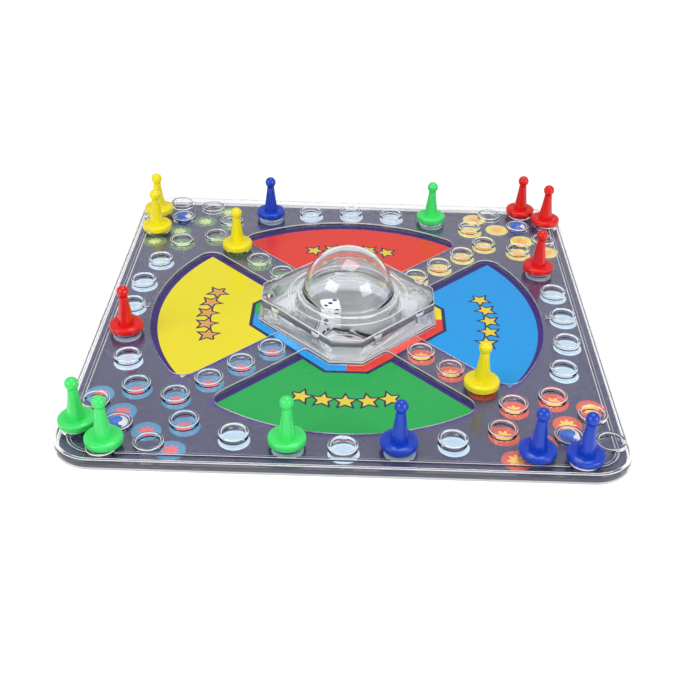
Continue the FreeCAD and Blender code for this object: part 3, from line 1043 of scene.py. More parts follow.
@dataclass(frozen=True)
class PrintedCardFinish:
    """The card's print, worked out from its layout in millimetres.

    Every distance is nought on a print's edge and below nought inside it. A lane is a row of discs
    along a diagonal, the home discs stand round a stud in the corner, and the track runs along a
    side. An arc and a row are measured from the middle, a step goes from one disc or star to the
    next, and a number of steps says how far a row reaches from its own middle. The colours and the
    roughness of the card come last.
    """

    shift: Point = (0.4, -1.4)
    ground_half: float = 124.0
    ground_corner: float = 17.1
    lane_edge: float = 13.0
    sector_arc: float = 98.2
    border_arc: float = 101.3
    border_gap: float = 9.9
    band_face: float = 41.7
    band_flat: float = 49.0
    band_outline: float = 1.8
    lane_disc: float = 6.8
    home_disc: float = 6.7
    track_disc: float = 7.0
    disc_rim: float = 1.3
    burst: float = 3.4
    burst_ray: float = 0.8
    burst_rays: float = 8.0
    lane_first: float = 51.92
    lane_step: float = 19.36
    lane_end: float = 119.7
    home_row: float = 133.2
    home_near: float = 9.5
    home_far: float = 27.4
    track_radius: float = 172.0
    track_centre: float = 59.8
    track_step: float = math.radians(8.12)
    track_steps: float = 3.5
    plain_steps: float = 2.5
    star_row: float = 73.5
    star_step: float = math.radians(8.2)
    star_steps: float = 2.5
    star_tip: float = 4.9
    star_notch: float = 2.3
    star_outline: float = 0.9
    star_reach: float = 9.0
    sheet_side: float = 1.5
    ground: Colour = (0.036, 0.036, 0.088)
    border: Colour = (0.04, 0.016, 0.20)
    pale: Colour = (0.43, 0.56, 0.67)
    margin: Colour = (0.72, 0.72, 0.74)
    star_gold: Colour = (0.93, 0.72, 0.06)
    star_orange: Colour = (0.85, 0.42, 0.10)
    rim_tone: float = 1.15
    wear: float = 60.0
    wear_tone: float = 1.35
    margin_soft: float = 0.2
    polish: float = 0.22
    worn: float = 0.1
    patch: float = 14.0
    grain: float = 0.7
    grain_depth: float = 0.006

    def motif(self, size: float, across: Tap, along: Tap) -> tuple[Tap, Tap]:
        """A disc and the burst inside it.

        Args:
            size: The disc's radius.
            across: The distance from the disc's middle one way.
            along: The distance from its middle the other way.

        Returns:
            The disc's distance and the burst's.
        """
        radius = length(across, along)
        wave = (along.maths("ARCTAN2", across) * self.burst_rays).maths("COSINE")
        return radius - size, radius - (wave * self.burst_ray + self.burst)

    def star(self, across: Tap, up: Tap) -> Tap:
        """A five-pointed star whose tip is up.

        Args:
            across: The distance from the star's middle sideways.
            up: The distance from its middle upwards.

        Returns:
            The star's distance.
        """
        point = math.pi / 5
        fold = across.maths("ARCTAN2", up).maths("PINGPONG", point)
        notch_x, notch_y = self.star_notch * math.cos(point), self.star_notch * math.sin(point)
        lean = math.atan2(self.star_tip - notch_x, notch_y)
        return length(across, up) * (fold - lean).maths("COSINE") - self.star_tip * math.cos(lean)

    def lanes_and_homes(self, graph: Graph, at: CardPoint, colour: Tap) -> Tap:
        """Print the discs of the lanes and round the corner studs.

        Args:
            graph: The card's graph.
            at: The point that is printed.
            colour: Its colour so far.

        Returns:
            Its colour with the discs.
        """
        inks, bursts = DULL.by_corner(graph, at), BURSTS.by_corner(graph, at)
        across = (at.diagonal - self.lane_first).maths("PINGPONG", self.lane_step / 2)
        lane, lane_burst = self.motif(self.lane_disc, across, at.off)
        area = at.diagonal < self.lane_end
        middle, half = (self.home_far + self.home_near) / 2, (self.home_far - self.home_near) / 2
        along = abs(at.off - middle) - half
        home, home_burst = self.motif(self.home_disc, at.diagonal - self.home_row, along)
        colour = graph.blend(lane.within() * area, colour, inks)
        colour = graph.blend(lane_burst.within() * area, colour, bursts)
        colour = graph.blend(home.within(), colour, inks)
        return graph.blend(home_burst.within(), colour, bursts)

    def track(self, graph: Graph, at: CardPoint, colour: Tap) -> Tap:
        """Print the discs of the track, of which the outermost carry a burst.

        Args:
            graph: The card's graph.
            at: The point that is printed.
            colour: Its colour so far.

        Returns:
            Its colour with the track.
        """
        reach = at.side + self.track_centre
        swing = at.along.maths("ARCTAN2", reach)
        across = swing.maths("PINGPONG", self.track_step / 2) * self.track_radius
        disc, burst = self.motif(self.track_disc, across, length(at.along, reach) - self.track_radius)
        area = swing < self.track_step * self.track_steps
        plain = swing < self.track_step * self.plain_steps
        rim = tuple(self.rim_tone * part for part in self.pale)
        pale = graph.blend((disc + self.disc_rim).within(SOFT), rim, self.pale)
        inks = graph.blend(plain, DULL.by_corner(graph, at), pale)
        colour = graph.blend(disc.within() * area, colour, inks)
        return graph.blend(burst.within() * area * (1.0 - plain), colour, BURSTS.by_corner(graph, at))

    def sectors(self, graph: Graph, at: CardPoint, band: Tap, colour: Tap) -> Tap:
        """Print the four sectors, each with its row of stars.

        Args:
            graph: The card's graph.
            at: The point that is printed.
            band: The distance of the middle band.
            colour: The point's colour so far.

        Returns:
            Its colour with the sectors and the band.
        """
        sector = (self.lane_edge - at.off).most(at.radius - self.sector_arc)
        colour = graph.blend(sector.within(), colour, BRIGHT.by_side(graph, at))
        bearing = at.along.maths("ARCTAN2", at.side)
        across = bearing.maths("PINGPONG", self.star_step / 2) * self.star_row
        star = self.star(across, self.star_row - at.radius)
        row = abs(at.radius - self.star_row) < self.star_reach
        area = (bearing < self.star_step * self.star_steps) * row
        colour = graph.blend((star - self.star_outline).within() * area, colour, NAVY)
        ink = graph.blend(at.upright.most(at.right), self.star_orange, self.star_gold)
        colour = graph.blend(star.within() * area, colour, ink)
        colour = graph.blend((band - self.band_outline).within(), colour, NAVY)
        return graph.blend(band.within(), colour, BRIGHT.by_corner(graph, at))

    def build(self) -> bpy.types.Material:
        """Lay the print's inks over each other from the ground up.

        Returns:
            The finished material.
        """
        graph = Graph.material("card_print")
        x, y, z = graph.parts(graph.place())
        x, y = x - self.shift[0], y - self.shift[1]
        at = CardPoint.at(x, y)
        band = (at.diagonal - self.band_face).most(at.side - self.band_flat)
        worn = tuple(self.wear_tone * part for part in self.ground)
        colour = graph.blend(graph.speckle(self.wear, 2), self.ground, worn)
        border = (at.radius - self.border_arc).within(SOFT) * (at.off > self.border_gap)
        colour = graph.blend(border, colour, self.border)
        colour = self.lanes_and_homes(graph, at, colour)
        colour = self.track(graph, at, colour)
        colour = self.sectors(graph, at, band, colour)
        corner = self.ground_half - self.ground_corner
        out_x, out_y = (abs(x) - corner).most(0.0), (abs(y) - corner).most(0.0)
        edge = length(out_x, out_y) - self.ground_corner
        printed = edge.within(self.margin_soft) * (z > self.sheet_side)
        colour = graph.blend(printed, self.margin, colour)
        rough = graph.speckle(self.patch, 2) * self.worn + self.polish
        grain = graph.bump(graph.speckle(self.grain, 1), self.grain_depth)
        return graph.done(graph.surface(Base_Color=colour, Roughness=rough, Normal=grain))


@dataclass
class Collars:
    """Where the raised collars stand, for the front side or the front left corner.

    Attributes:
        arc_radius: The radius of the track's arc along a side.
        near: The distance of a side's middle collar from the board's middle.
        step: The angle between two collars of the track, in degrees.
        each_way: How many collars a side has on either hand of its middle one.
        lane_first: The innermost lane collar's distance from the board's middle.
        lane_step: The distance between two lane collars.
        lane_count: How many collars a lane has.
        stud: The corner stud's distance from the board's middle.
        homes: The home collars' distances from the stud and their bearings from its outward
            diagonal, in degrees.
    """

    arc_radius: float = 172.0
    near: float = 112.2
    step: float = 8.12
    each_way: int = 3
    lane_first: float = 51.92
    lane_step: float = 19.36
    lane_count: int = 4
    stud: float = 141.42
    homes: tuple[Point, ...] = ((20.7, -95.6), (18.0, -34.0), (18.0, 34.0), (20.7, 95.6))

    def track(self) -> list[Point]:
        """The collars along the front side.

        Returns:
            Their places from left to right.
        """
        places = []
        for index in range(-self.each_way, self.each_way + 1):
            x, y = polar(self.arc_radius, index * self.step - 90)
            places.append((x, y + self.arc_radius - self.near))
        return places

    def lane(self) -> list[Point]:
        """The collars of the front left lane, innermost first."""
        distances = [self.lane_first + self.lane_step * index for index in range(self.lane_count)]
        return [polar(distance, CORNER) for distance in distances]

    def stud_place(self) -> Point:
        """The front left stud's place."""
        return polar(self.stud, CORNER)

    def home(self) -> list[Point]:
        """The collars round the front left stud.

        Returns:
            Their places, anticlockwise.
        """
        x, y = self.stud_place()
        places = []
        for radius, turn in self.homes:
            dx, dy = polar(radius, CORNER + turn)
            places.append((x + dx, y + dy))
        return places


@dataclass
class ModuleShape:
    """The dice module's outline: a square with cut corners, turned by an eighth.

    Attributes:
        face: The distance of its long faces from the middle.
        flat_half: Half the width of its cut corners.
        leg_place: The distance of a snap leg from the middle of its long face.
    """

    face: float = 36.6
    flat_half: float = 7.6
    leg_place: float = 15.0

    def flat(self, offset: float) -> float:
        """The distance of the cut corners from the middle, grown by an offset."""
        return self.face * ROOT2 - self.flat_half + offset

    def prism(self, offset: float, bottom: float, top: float) -> Bench:
        """The outline as an upright bar.

        Args:
            offset: How far its faces lie outside the outline.
            bottom: The height of its lower face.
            top: The height of its upper face.

        Returns:
            The bar on its bench.
        """
        face = self.face + offset
        cut = (face * ROOT2 - self.flat(offset)) * ROOT2
        bench = Bench.block((-face, -face, bottom), (face, face, top))
        with bench.editing():
            bench.round_uprights(cut, 1)
            bpy.ops.mesh.select_all(action="SELECT")
            bench.twist(45)
        return bench

    def on_faces(self, inner: float, outer: float, width: float, bottom: float, top: float) -> Bench:
        """Blocks in pairs on the four long faces, where the snap legs stand.

        Args:
            inner: The distance of their inner side from the middle.
            outer: The distance of their outer side from the middle.
            width: Their width.
            bottom: The height of their lower face.
            top: The height of their upper face.

        Returns:
            The eight blocks as one mesh on its bench.
        """
        pair = []
        for place in (-self.leg_place, self.leg_place):
            low, high = (inner, place - width / 2, bottom), (outer, place + width / 2, top)
            pair.append(Bench.block(low, high))
        return Bench.gathered(pair).around(turns=tuple(45 + turn for turn in QUARTERS))


@dataclass
class Cover:
    """The clear cover: rim, deck, border line, collars, tabs, windows and openings.

    Attributes:
        half: Half its width.
        corner: The radius of its corners.
        wall: The thickness of its wall.
        rim_top: The height of its rim.
        rim_round: How far the rim's edges are rounded.
        deck_top: The height of the deck's upper face.
        deck_bottom: The height of the deck's lower face.
        sink: How far raised parts reach into the deck.
        ridge_half: The border line's distance from the middle.
        ridge_width: The border line's width.
        ridge_height: The border line's height above the deck.
        ridge_corner: The radius of the border line's corners.
        ridge_round: How far the border line's edges are rounded.
        collar_outer: A collar's outer radius.
        collar_bore: A collar's inner radius.
        collar_top: The height of a collar.
        collar_round: How far a collar's edges are rounded.
        tab_near: The inner side of a side's small tab, from the middle.
        tab_far: The outer side of a side's small tab, from the middle.
        tab_half: Half a tab's length.
        tab_height: A tab's height above the deck.
        tab_round: How far a tab's edges are rounded.
        window_lane: The distance of a sector window from its diagonals.
        window_arc: The radius of a window's outer edge.
        window_band: The width of the deck between a window and the dice module's outline.
        window_inner: The radius of a window's inner corners.
        window_outer: The radius of a window's outer corners.
        module_gap: The gap between the deck and the dice module.
        stud_hole: The radius of a stud's hole.
        lip: The height of the top part of an opening's wall, which gets the painted highlight.
        edge_slopes: The least and most upward parts of a rounded edge's normal.
        front_near: How near to the front a face has to be to count as the front wall.
        front_top: The height at which the painted shade on the front wall ends.
        module: The dice module's outline.
        collars: The collars' places.
    """

    half: float = 126.3
    corner: float = 19.0
    wall: float = 1.7
    rim_top: float = 5.4
    rim_round: float = 0.55
    deck_top: float = 3.8
    deck_bottom: float = 2.2
    sink: float = 0.4
    ridge_half: float = 119.7
    ridge_width: float = 1.7
    ridge_height: float = 0.9
    ridge_corner: float = 13.5
    ridge_round: float = 0.3
    collar_outer: float = 6.7
    collar_bore: float = 5.3
    collar_top: float = 6.2
    collar_round: float = 0.45
    tab_near: float = 103.5
    tab_far: float = 105.5
    tab_half: float = 2.0
    tab_height: float = 0.8
    tab_round: float = 0.25
    window_lane: float = 10.0
    window_arc: float = 101.5
    window_band: float = 1.6
    window_inner: float = 2.0
    window_outer: float = 8.0
    module_gap: float = 0.2
    stud_hole: float = 2.5
    lip: float = 0.8
    edge_slopes: Point = (0.12, 0.96)
    front_near: float = 110.0
    front_top: float = 5.0
    module: ModuleShape = field(default_factory=ModuleShape)
    collars: Collars = field(default_factory=Collars)

    def shell(self) -> Bench:
        """The tray-shaped shell with its raised rim and the space below the deck.

        Returns:
            The shell on its bench.
        """
        bench = Bench.slab(self.half, self.corner, 0, self.rim_top)
        with bench.editing():
            bench.pick_faces(looks_up)
            bpy.ops.mesh.inset(thickness=self.wall)
            bench.extrude(self.deck_top - self.rim_top)
            bench.pick_faces(looks_down)
            bpy.ops.mesh.inset(thickness=self.wall)
            bench.extrude(self.deck_bottom)
            bench.round_top(self.rim_top, self.rim_round, 4)
        return bench

    def ridge(self) -> Bench:
        """The raised border line, sunk a little into the deck.

        Returns:
            The line on its bench.
        """
        half = self.ridge_width / 2
        bottom, top = self.deck_top - self.sink, self.deck_top + self.ridge_height
        line = Bench.slab(self.ridge_half + half, self.ridge_corner, bottom, top)
        inner_corner = self.ridge_corner - 2 * half
        inner = Bench.slab(self.ridge_half - half, inner_corner, bottom - PAST, top + PAST)
        line.combine(inner, Fuse.CUT)
        with line.editing():
            line.round_top(top, self.ridge_round, 2)
        return line

    def collar(self) -> Bench:
        """One collar with rounded edges, sunk a little into the deck.

        Returns:
            The collar on its bench.
        """
        edge, bottom = self.collar_round, self.deck_top - self.sink
        outline = [(self.collar_bore, bottom), (self.collar_outer, bottom)]
        outline += arc((self.collar_outer - edge, self.collar_top - edge), edge, 0, 90, 4)
        outline += arc((self.collar_bore + edge, self.collar_top - edge), edge, 90, 180, 4)
        return Bench.lathe(outline, SMALL_STEPS)

    def all_collars(self) -> Bench:
        """Every collar, with one round each corner stud.

        Returns:
            The collars as one mesh on its bench.
        """
        pattern = self.collar()
        places = self.collars.track() + self.collars.lane() + self.collars.home()
        places.append(self.collars.stud_place())
        sets = [pattern.twin().around(place) for place in places]
        pattern.discard()
        return Bench.gathered(sets)

    def tabs(self) -> Bench:
        """The small tab in front of each sector.

        Returns:
            The four tabs as one mesh on its bench.
        """
        low = (-self.tab_half, -self.tab_far, self.deck_top - self.sink)
        high = (self.tab_half, -self.tab_near, self.deck_top + self.tab_height)
        return Bench.block(low, high).soften(self.tab_round, 2).around()

    def window(self) -> Bench:
        """The cutter for the front window, drawn along and off its right lane's diagonal.

        Returns:
            The cutter on its bench.
        """
        inner, outer = self.window_inner, self.window_outer
        lane, reach, face = self.window_lane, self.window_arc, self.module.face + self.window_band
        beside = math.sqrt((reach - outer) ** 2 - (lane + outer) ** 2)
        turn = math.degrees(math.atan2(lane + outer, beside))
        route = [(face, self.module.flat(self.window_band) * ROOT2 - face)]
        route += arc((face + inner, lane + inner), inner, 180, 270, 4)
        route += arc((beside, lane + outer), outer, -90, turn, 8)
        route += arc((0, 0), reach, turn, 45, 18)[1:]
        right = [((d - o) / ROOT2, -(d + o) / ROOT2) for d, o in route]
        left = [(-x, y) for x, y in reversed(right[:-1])]
        return Bench.plate([*right, *left], 0, self.rim_top + PAST)

    def build(self, *finishes: bpy.types.Material) -> bpy.types.Object:
        """Model the cover and dress it.

        Args:
            *finishes: Its clear finish, its painted highlight finish and its painted shade finish.

        Returns:
            The finished cover.
        """
        hole = Bench.disc(self.stud_hole, -PAST, self.rim_top, BORE_STEPS)
        module = self.module.prism(self.module_gap, -PAST, self.rim_top + 2 * PAST)
        cover = self.shell()
        for part in (self.ridge(), self.tabs(), self.all_collars()):
            cover.combine(part, Fuse.JOIN)
        for cutter in (self.window().around(), module, hole.around(self.collars.stud_place())):
            cover.combine(cutter, Fuse.CUT)
        # Split the openings' walls at the lip's height, so that the painted highlight stops there.
        with cover.editing():
            bpy.ops.mesh.select_all(action="SELECT")
            bpy.ops.mesh.bisect(plane_co=(0, 0, self.deck_top - self.lip), plane_no=(0, 0, 1))
        piece = cover.smooth().finish("top_cover_clear", "board", "clear_plastic", ["top_cover"])
        dress(piece, *finishes)
        # Rounded edges and lips get the painted highlight; the front wall and the openings' lower walls
        # get the painted shade.
        mark_faces(piece, self.gets_painted_highlight)
        mark_faces(piece, self.gets_painted_shade, 2)
        return piece

    def in_opening(self, middle: Vector, normal: Vector) -> bool:
        """Whether a face is a wall of a window or of the module's opening."""
        return abs(normal.z) < STEEP and middle.xy.length < self.window_arc + 1

    def gets_painted_highlight(self, middle: Vector, normal: Vector) -> bool:
        """Whether a face is a rounded edge or the lip of an opening, which gets a painted highlight."""
        lip = self.deck_top - self.lip < middle.z < self.deck_top and self.in_opening(middle, normal)
        return lip or (middle.z > self.deck_top and is_rounded(normal, *self.edge_slopes))

    def gets_painted_shade(self, middle: Vector, normal: Vector) -> bool:
        """Whether a face is the front wall or an opening's wall below its lip, which gets a painted
        shade.
        """
        wall = self.deck_bottom < middle.z < self.deck_top - self.lip and self.in_opening(middle, normal)
        return wall or (normal.y < -0.6 and middle.y < -self.front_near and middle.z < self.front_top)


@dataclass
class CardStack:
    """The printed card, the base tray below it and the studs that hold the layers together.

    Attributes:
        half: Half the width of the card and the tray.
        corner: The radius of their corners.
        card_bottom: The height of the card's lower face.
        card_top: The height of the card's upper face.
        card_gap: The gap between the card and the dice module.
        tray_top: The height of the tray's upper face.
        cut_top: The height to which openings are cut through the card and the tray.
        groove_inset: The distance of the tray's stacking groove from its edge.
        groove_width: The groove's width, where its floor begins.
        groove_depth: The groove's depth.
        lug_places: Where the snap lugs of a side stand along it.
        lug_half: Half a lug's length.
        lug_out: How far a lug stands out.
        lug_in: How far a lug reaches into the tray.
        lug_top: The height of a lug.
        stud_hole: The radius of a stud's hole.
        clinch_bore: The radius of the seat for a stud's clinched end.
        clinch_depth: The depth of that seat.
        clinch: The radius of the clinched end.
        clinch_bottom: The height of the clinched end's lower face.
        clinch_top: The height of its upper face.
        stud_head: The radius of a stud's head.
        stud_crown: The radius of its top face.
        stud_bottom: The height of the head's lower face.
        stud_top: The height of the head's top.
        stud_shank: The radius of its shank.
        foot_rise: The height of the head's foot.
        foot_share: The foot's share of the head's radius.
        shoulder_share: The share of the radius that the first slope keeps.
        slope_share: The share that the second slope keeps.
        painted_glint_lean: How strongly a facet of a stud's head must lean to the right to get a painted
            glint.
        cover: The cover over the card.
    """

    half: float = 124.2
    corner: float = 17.3
    card_bottom: float = 1.05
    card_top: float = 1.55
    card_gap: float = 1.5
    tray_top: float = 1.0
    cut_top: float = 3.0
    groove_inset: float = 6.0
    groove_width: float = 3.0
    groove_depth: float = 0.35
    lug_places: tuple[float, ...] = (-62.0, 0.0, 62.0)
    lug_half: float = 2.0
    lug_out: float = 0.4
    lug_in: float = 1.0
    lug_top: float = 0.8
    stud_hole: float = 2.5
    clinch_bore: float = 3.4
    clinch_depth: float = 0.7
    clinch: float = 3.3
    clinch_bottom: float = 0.1
    clinch_top: float = 0.6
    stud_head: float = 4.9
    stud_crown: float = 2.5
    stud_bottom: float = 3.85
    stud_top: float = 6.85
    stud_shank: float = 2.4
    foot_rise: float = 0.4
    foot_share: float = 0.8
    shoulder_share: float = 0.86
    slope_share: float = 0.8
    painted_glint_lean: float = 0.26
    cover: Cover = field(default_factory=Cover)

    def bores(self, radius: float, bottom: float, top: float) -> Bench:
        """The cutter for the four studs' holes, between two heights."""
        return Bench.disc(radius, bottom, top, BORE_STEPS).around(self.cover.collars.stud_place())

    def card(self, finish: bpy.types.Material) -> bpy.types.Object:
        """Model the printed card with its openings.

        Args:
            finish: Its printed finish.

        Returns:
            The finished card.
        """
        card = Bench.slab(self.half, self.corner, self.card_bottom, self.card_top)
        card.combine(self.cover.module.prism(self.card_gap, 0, self.cut_top), Fuse.CUT)
        card.combine(self.bores(self.stud_hole, 0, self.cut_top), Fuse.CUT)
        piece = card.smooth().finish("printed_card_sheet", "board", "card_print", ["printed_card"])
        dress(piece, finish)
        return piece

    def tray(self, finish: bpy.types.Material) -> bpy.types.Object:
        """Model the base tray with its stacking groove, snap lugs and stud holes.

        Args:
            finish: Its clear finish.

        Returns:
            The finished tray.
        """
        tray = Bench.slab(self.half, self.corner, 0, self.tray_top)
        with tray.editing():
            tray.pick_faces(looks_down)
            bpy.ops.mesh.inset(thickness=self.groove_inset)
            bpy.ops.mesh.inset(thickness=self.groove_width)
            tray.extrude(self.groove_depth)
        for place in self.lug_places:
            low = (place - self.lug_half, -self.half - self.lug_out, 0)
            high = (place + self.lug_half, -self.half + self.lug_in, self.lug_top)
            tray.combine(Bench.block(low, high).around(), Fuse.JOIN)
        tray.combine(self.bores(self.clinch_bore, -PAST, self.clinch_depth), Fuse.CUT)
        tray.combine(self.bores(self.stud_hole, -PAST, self.cut_top), Fuse.CUT)
        piece = tray.smooth().finish("base_tray_moulding", "board", "clear_base", ["base_tray"])
        dress(piece, finish)
        return piece

    def stud(self) -> Bench:
        """One faceted stud at the board's middle, with its shank and clinched end.

        Returns:
            The stud on its bench.
        """
        foot = self.stud_head * self.foot_share
        steps = (
            (0.6, 1 / self.foot_share, 0),
            (0.3, 1.0, 0),
            (0.7, self.shoulder_share, HALF_EIGHTH),
            (0.6, self.slope_share, HALF_EIGHTH),
        )
        risen = self.foot_rise
        stud = Bench.disc(foot, self.stud_bottom, self.stud_bottom + risen, 8, HALF_EIGHTH)
        with stud.editing():
            stud.pick_faces(looks_up)
            for rise, share, turn in steps:
                stud.extrude(rise)
                stud.grow(share)
                stud.twist(turn)
                risen += rise
            stud.extrude(self.stud_top - self.stud_bottom - risen)
            stud.grow(self.stud_crown / (self.stud_head * self.shoulder_share * self.slope_share))
        stud.apply("TRIANGULATE")
        shank = Bench.disc(self.stud_shank, self.clinch_bottom, self.stud_bottom + 0.3, 24)
        clinch = Bench.disc(self.clinch, self.clinch_bottom, self.clinch_top, 24)
        return stud.combine(shank, Fuse.JOIN).combine(clinch, Fuse.JOIN)

    def studs(self, finish: bpy.types.Material, edge: bpy.types.Material) -> bpy.types.Object:
        """Model the four studs.

        Args:
            finish: Their blue finish.
            edge: The painted highlight finish, given as a painted glint to the facets that lean to the
                right.

        Returns:
            The finished studs.
        """
        studs = self.stud().around(self.cover.collars.stud_place()).smooth(8)
        piece = studs.finish("corner_studs_faceted", "board", "stud_blue", ["corner_studs"])
        dress(piece, finish, edge)
        # Facets that lean to the right get a painted glint.
        mark_faces(piece, self.gets_painted_glint)
        return piece

    def gets_painted_glint(self, middle: Vector, normal: Vector) -> bool:
        """Whether a face is a facet of a stud's head that leans to the right, which gets a painted
        glint.
        """
        return middle.z > self.stud_bottom and normal.x * normal.z > self.painted_glint_lean


@dataclass
class Housing:
    """The dice module's housing: its wall, its floor plate and the guide ring.

    Attributes:
        bottom: The height of the wall's and the floor plate's lower face.
        band_bottom: The height at which the wall's outer band begins.
        band_top: The height of the wall.
        wall_offset: How far the wall's outside lies outside the module's outline.
        wall_inner: How far its inside lies outside that outline.
        base_offset: How far its base lies outside that outline.
        base_top: The height of the base.
        wall_round: How far its edges are rounded.
        slot_width: The width of a snap leg's slot.
        slot_inner: The inner side of the slot through the band, from the middle.
        slot_outer: The outer side of the slots, from the middle.
        hook_inner: The inner side of the slot for a leg's hook, from the middle.
        hook_bottom: The height of the hook slot's lower face.
        hook_top: The height of its upper face.
        floor_offset: How far the floor plate lies outside the outline.
        floor_top: The height of the floor plate.
        floor_round: How far its edges are rounded.
        ring_bore: The guide ring's inner radius.
        ring_outer: The guide ring's outer radius.
        ring_height: The guide ring's height.
        ring_round: How far its top edges are rounded.
        shape: The module's outline.
    """

    bottom: float = 1.05
    band_bottom: float = 11.2
    band_top: float = 12.4
    wall_offset: float = -0.5
    wall_inner: float = -2.0
    base_offset: float = 1.3
    base_top: float = 2.15
    wall_round: float = 0.28
    slot_width: float = 4.3
    slot_inner: float = 36.1
    slot_outer: float = 37.6
    hook_inner: float = 33.5
    hook_bottom: float = 6.85
    hook_top: float = 9.55
    floor_offset: float = -2.05
    floor_top: float = 1.85
    floor_round: float = 0.15
    ring_bore: float = 26.7
    ring_outer: float = 27.9
    ring_height: float = 6.0
    ring_round: float = 0.3
    shape: ModuleShape = field(default_factory=ModuleShape)

    def wall(self) -> bpy.types.Object:
        """Model the wall with its base, its band and the snap legs' slots.

        Returns:
            The undressed wall.
        """
        wall = self.shape.prism(self.wall_offset, self.bottom, self.band_top)
        below, above = self.band_bottom - PAST, self.band_top + PAST
        slots = self.shape.on_faces(self.slot_inner, self.slot_outer, self.slot_width, below, above)
        hooks = self.shape.on_faces(
            self.hook_inner, self.slot_outer, self.slot_width, self.hook_bottom, self.hook_top
        )
        wall.combine(self.shape.prism(0, self.band_bottom, self.band_top), Fuse.JOIN)
        wall.combine(self.shape.prism(self.base_offset, self.bottom, self.base_top), Fuse.JOIN)
        wall.combine(self.shape.prism(self.wall_inner, self.bottom - PAST, above), Fuse.CUT)
        wall.combine(slots, Fuse.CUT).combine(hooks, Fuse.CUT)
        wall.soften(self.wall_round, 2).smooth(30)
        return wall.finish("module_housing_wall", "board", "clear_frosted", ["module_housing"])

    def floor(self) -> bpy.types.Object:
        """Model the floor plate.

        Returns:
            The undressed plate.
        """
        floor = self.shape.prism(self.floor_offset, self.bottom, self.floor_top)
        floor.soften(self.floor_round, 2).smooth(30)
        return floor.finish("housing_floor_plate", "board", "clear_frosted", ["housing_floor"])

    def ring(self) -> bpy.types.Object:
        """Model the guide ring.

        Returns:
            The undressed ring.
        """
        bore, outer, edge = self.ring_bore, self.ring_outer, self.ring_round
        top = self.floor_top + self.ring_height
        outline = [(bore, self.floor_top), (outer, self.floor_top)]
        outline += arc((outer - edge, top - edge), edge, 0, 90, 3)
        outline += arc((bore + edge, top - edge), edge, 90, 180, 3)
        ring = Bench.lathe(outline, LARGE_STEPS).smooth()
        return ring.finish("guide_ring_moulding", "board", "clear_frosted", ["guide_ring"])

    def build(self, *finishes: bpy.types.Material) -> list[bpy.types.Object]:
        """Model the three pieces and dress them.

        Args:
            *finishes: Their clear finish, their painted highlight finish and their painted shade finish.

        Returns:
            The finished wall, floor plate and ring.
        """
        pieces = [self.wall(), self.floor(), self.ring()]
        for piece in pieces:
            dress(piece, *finishes)
            # Rounded edges get a painted highlight.
            mark_faces(piece, lambda middle, normal: is_rounded(normal))
        # The wall's band, from just above its foot to its top, gets a painted shade.
        mark_faces(pieces[0], lambda middle, normal: middle.z > self.band_bottom + self.wall_round, 2)
        return pieces


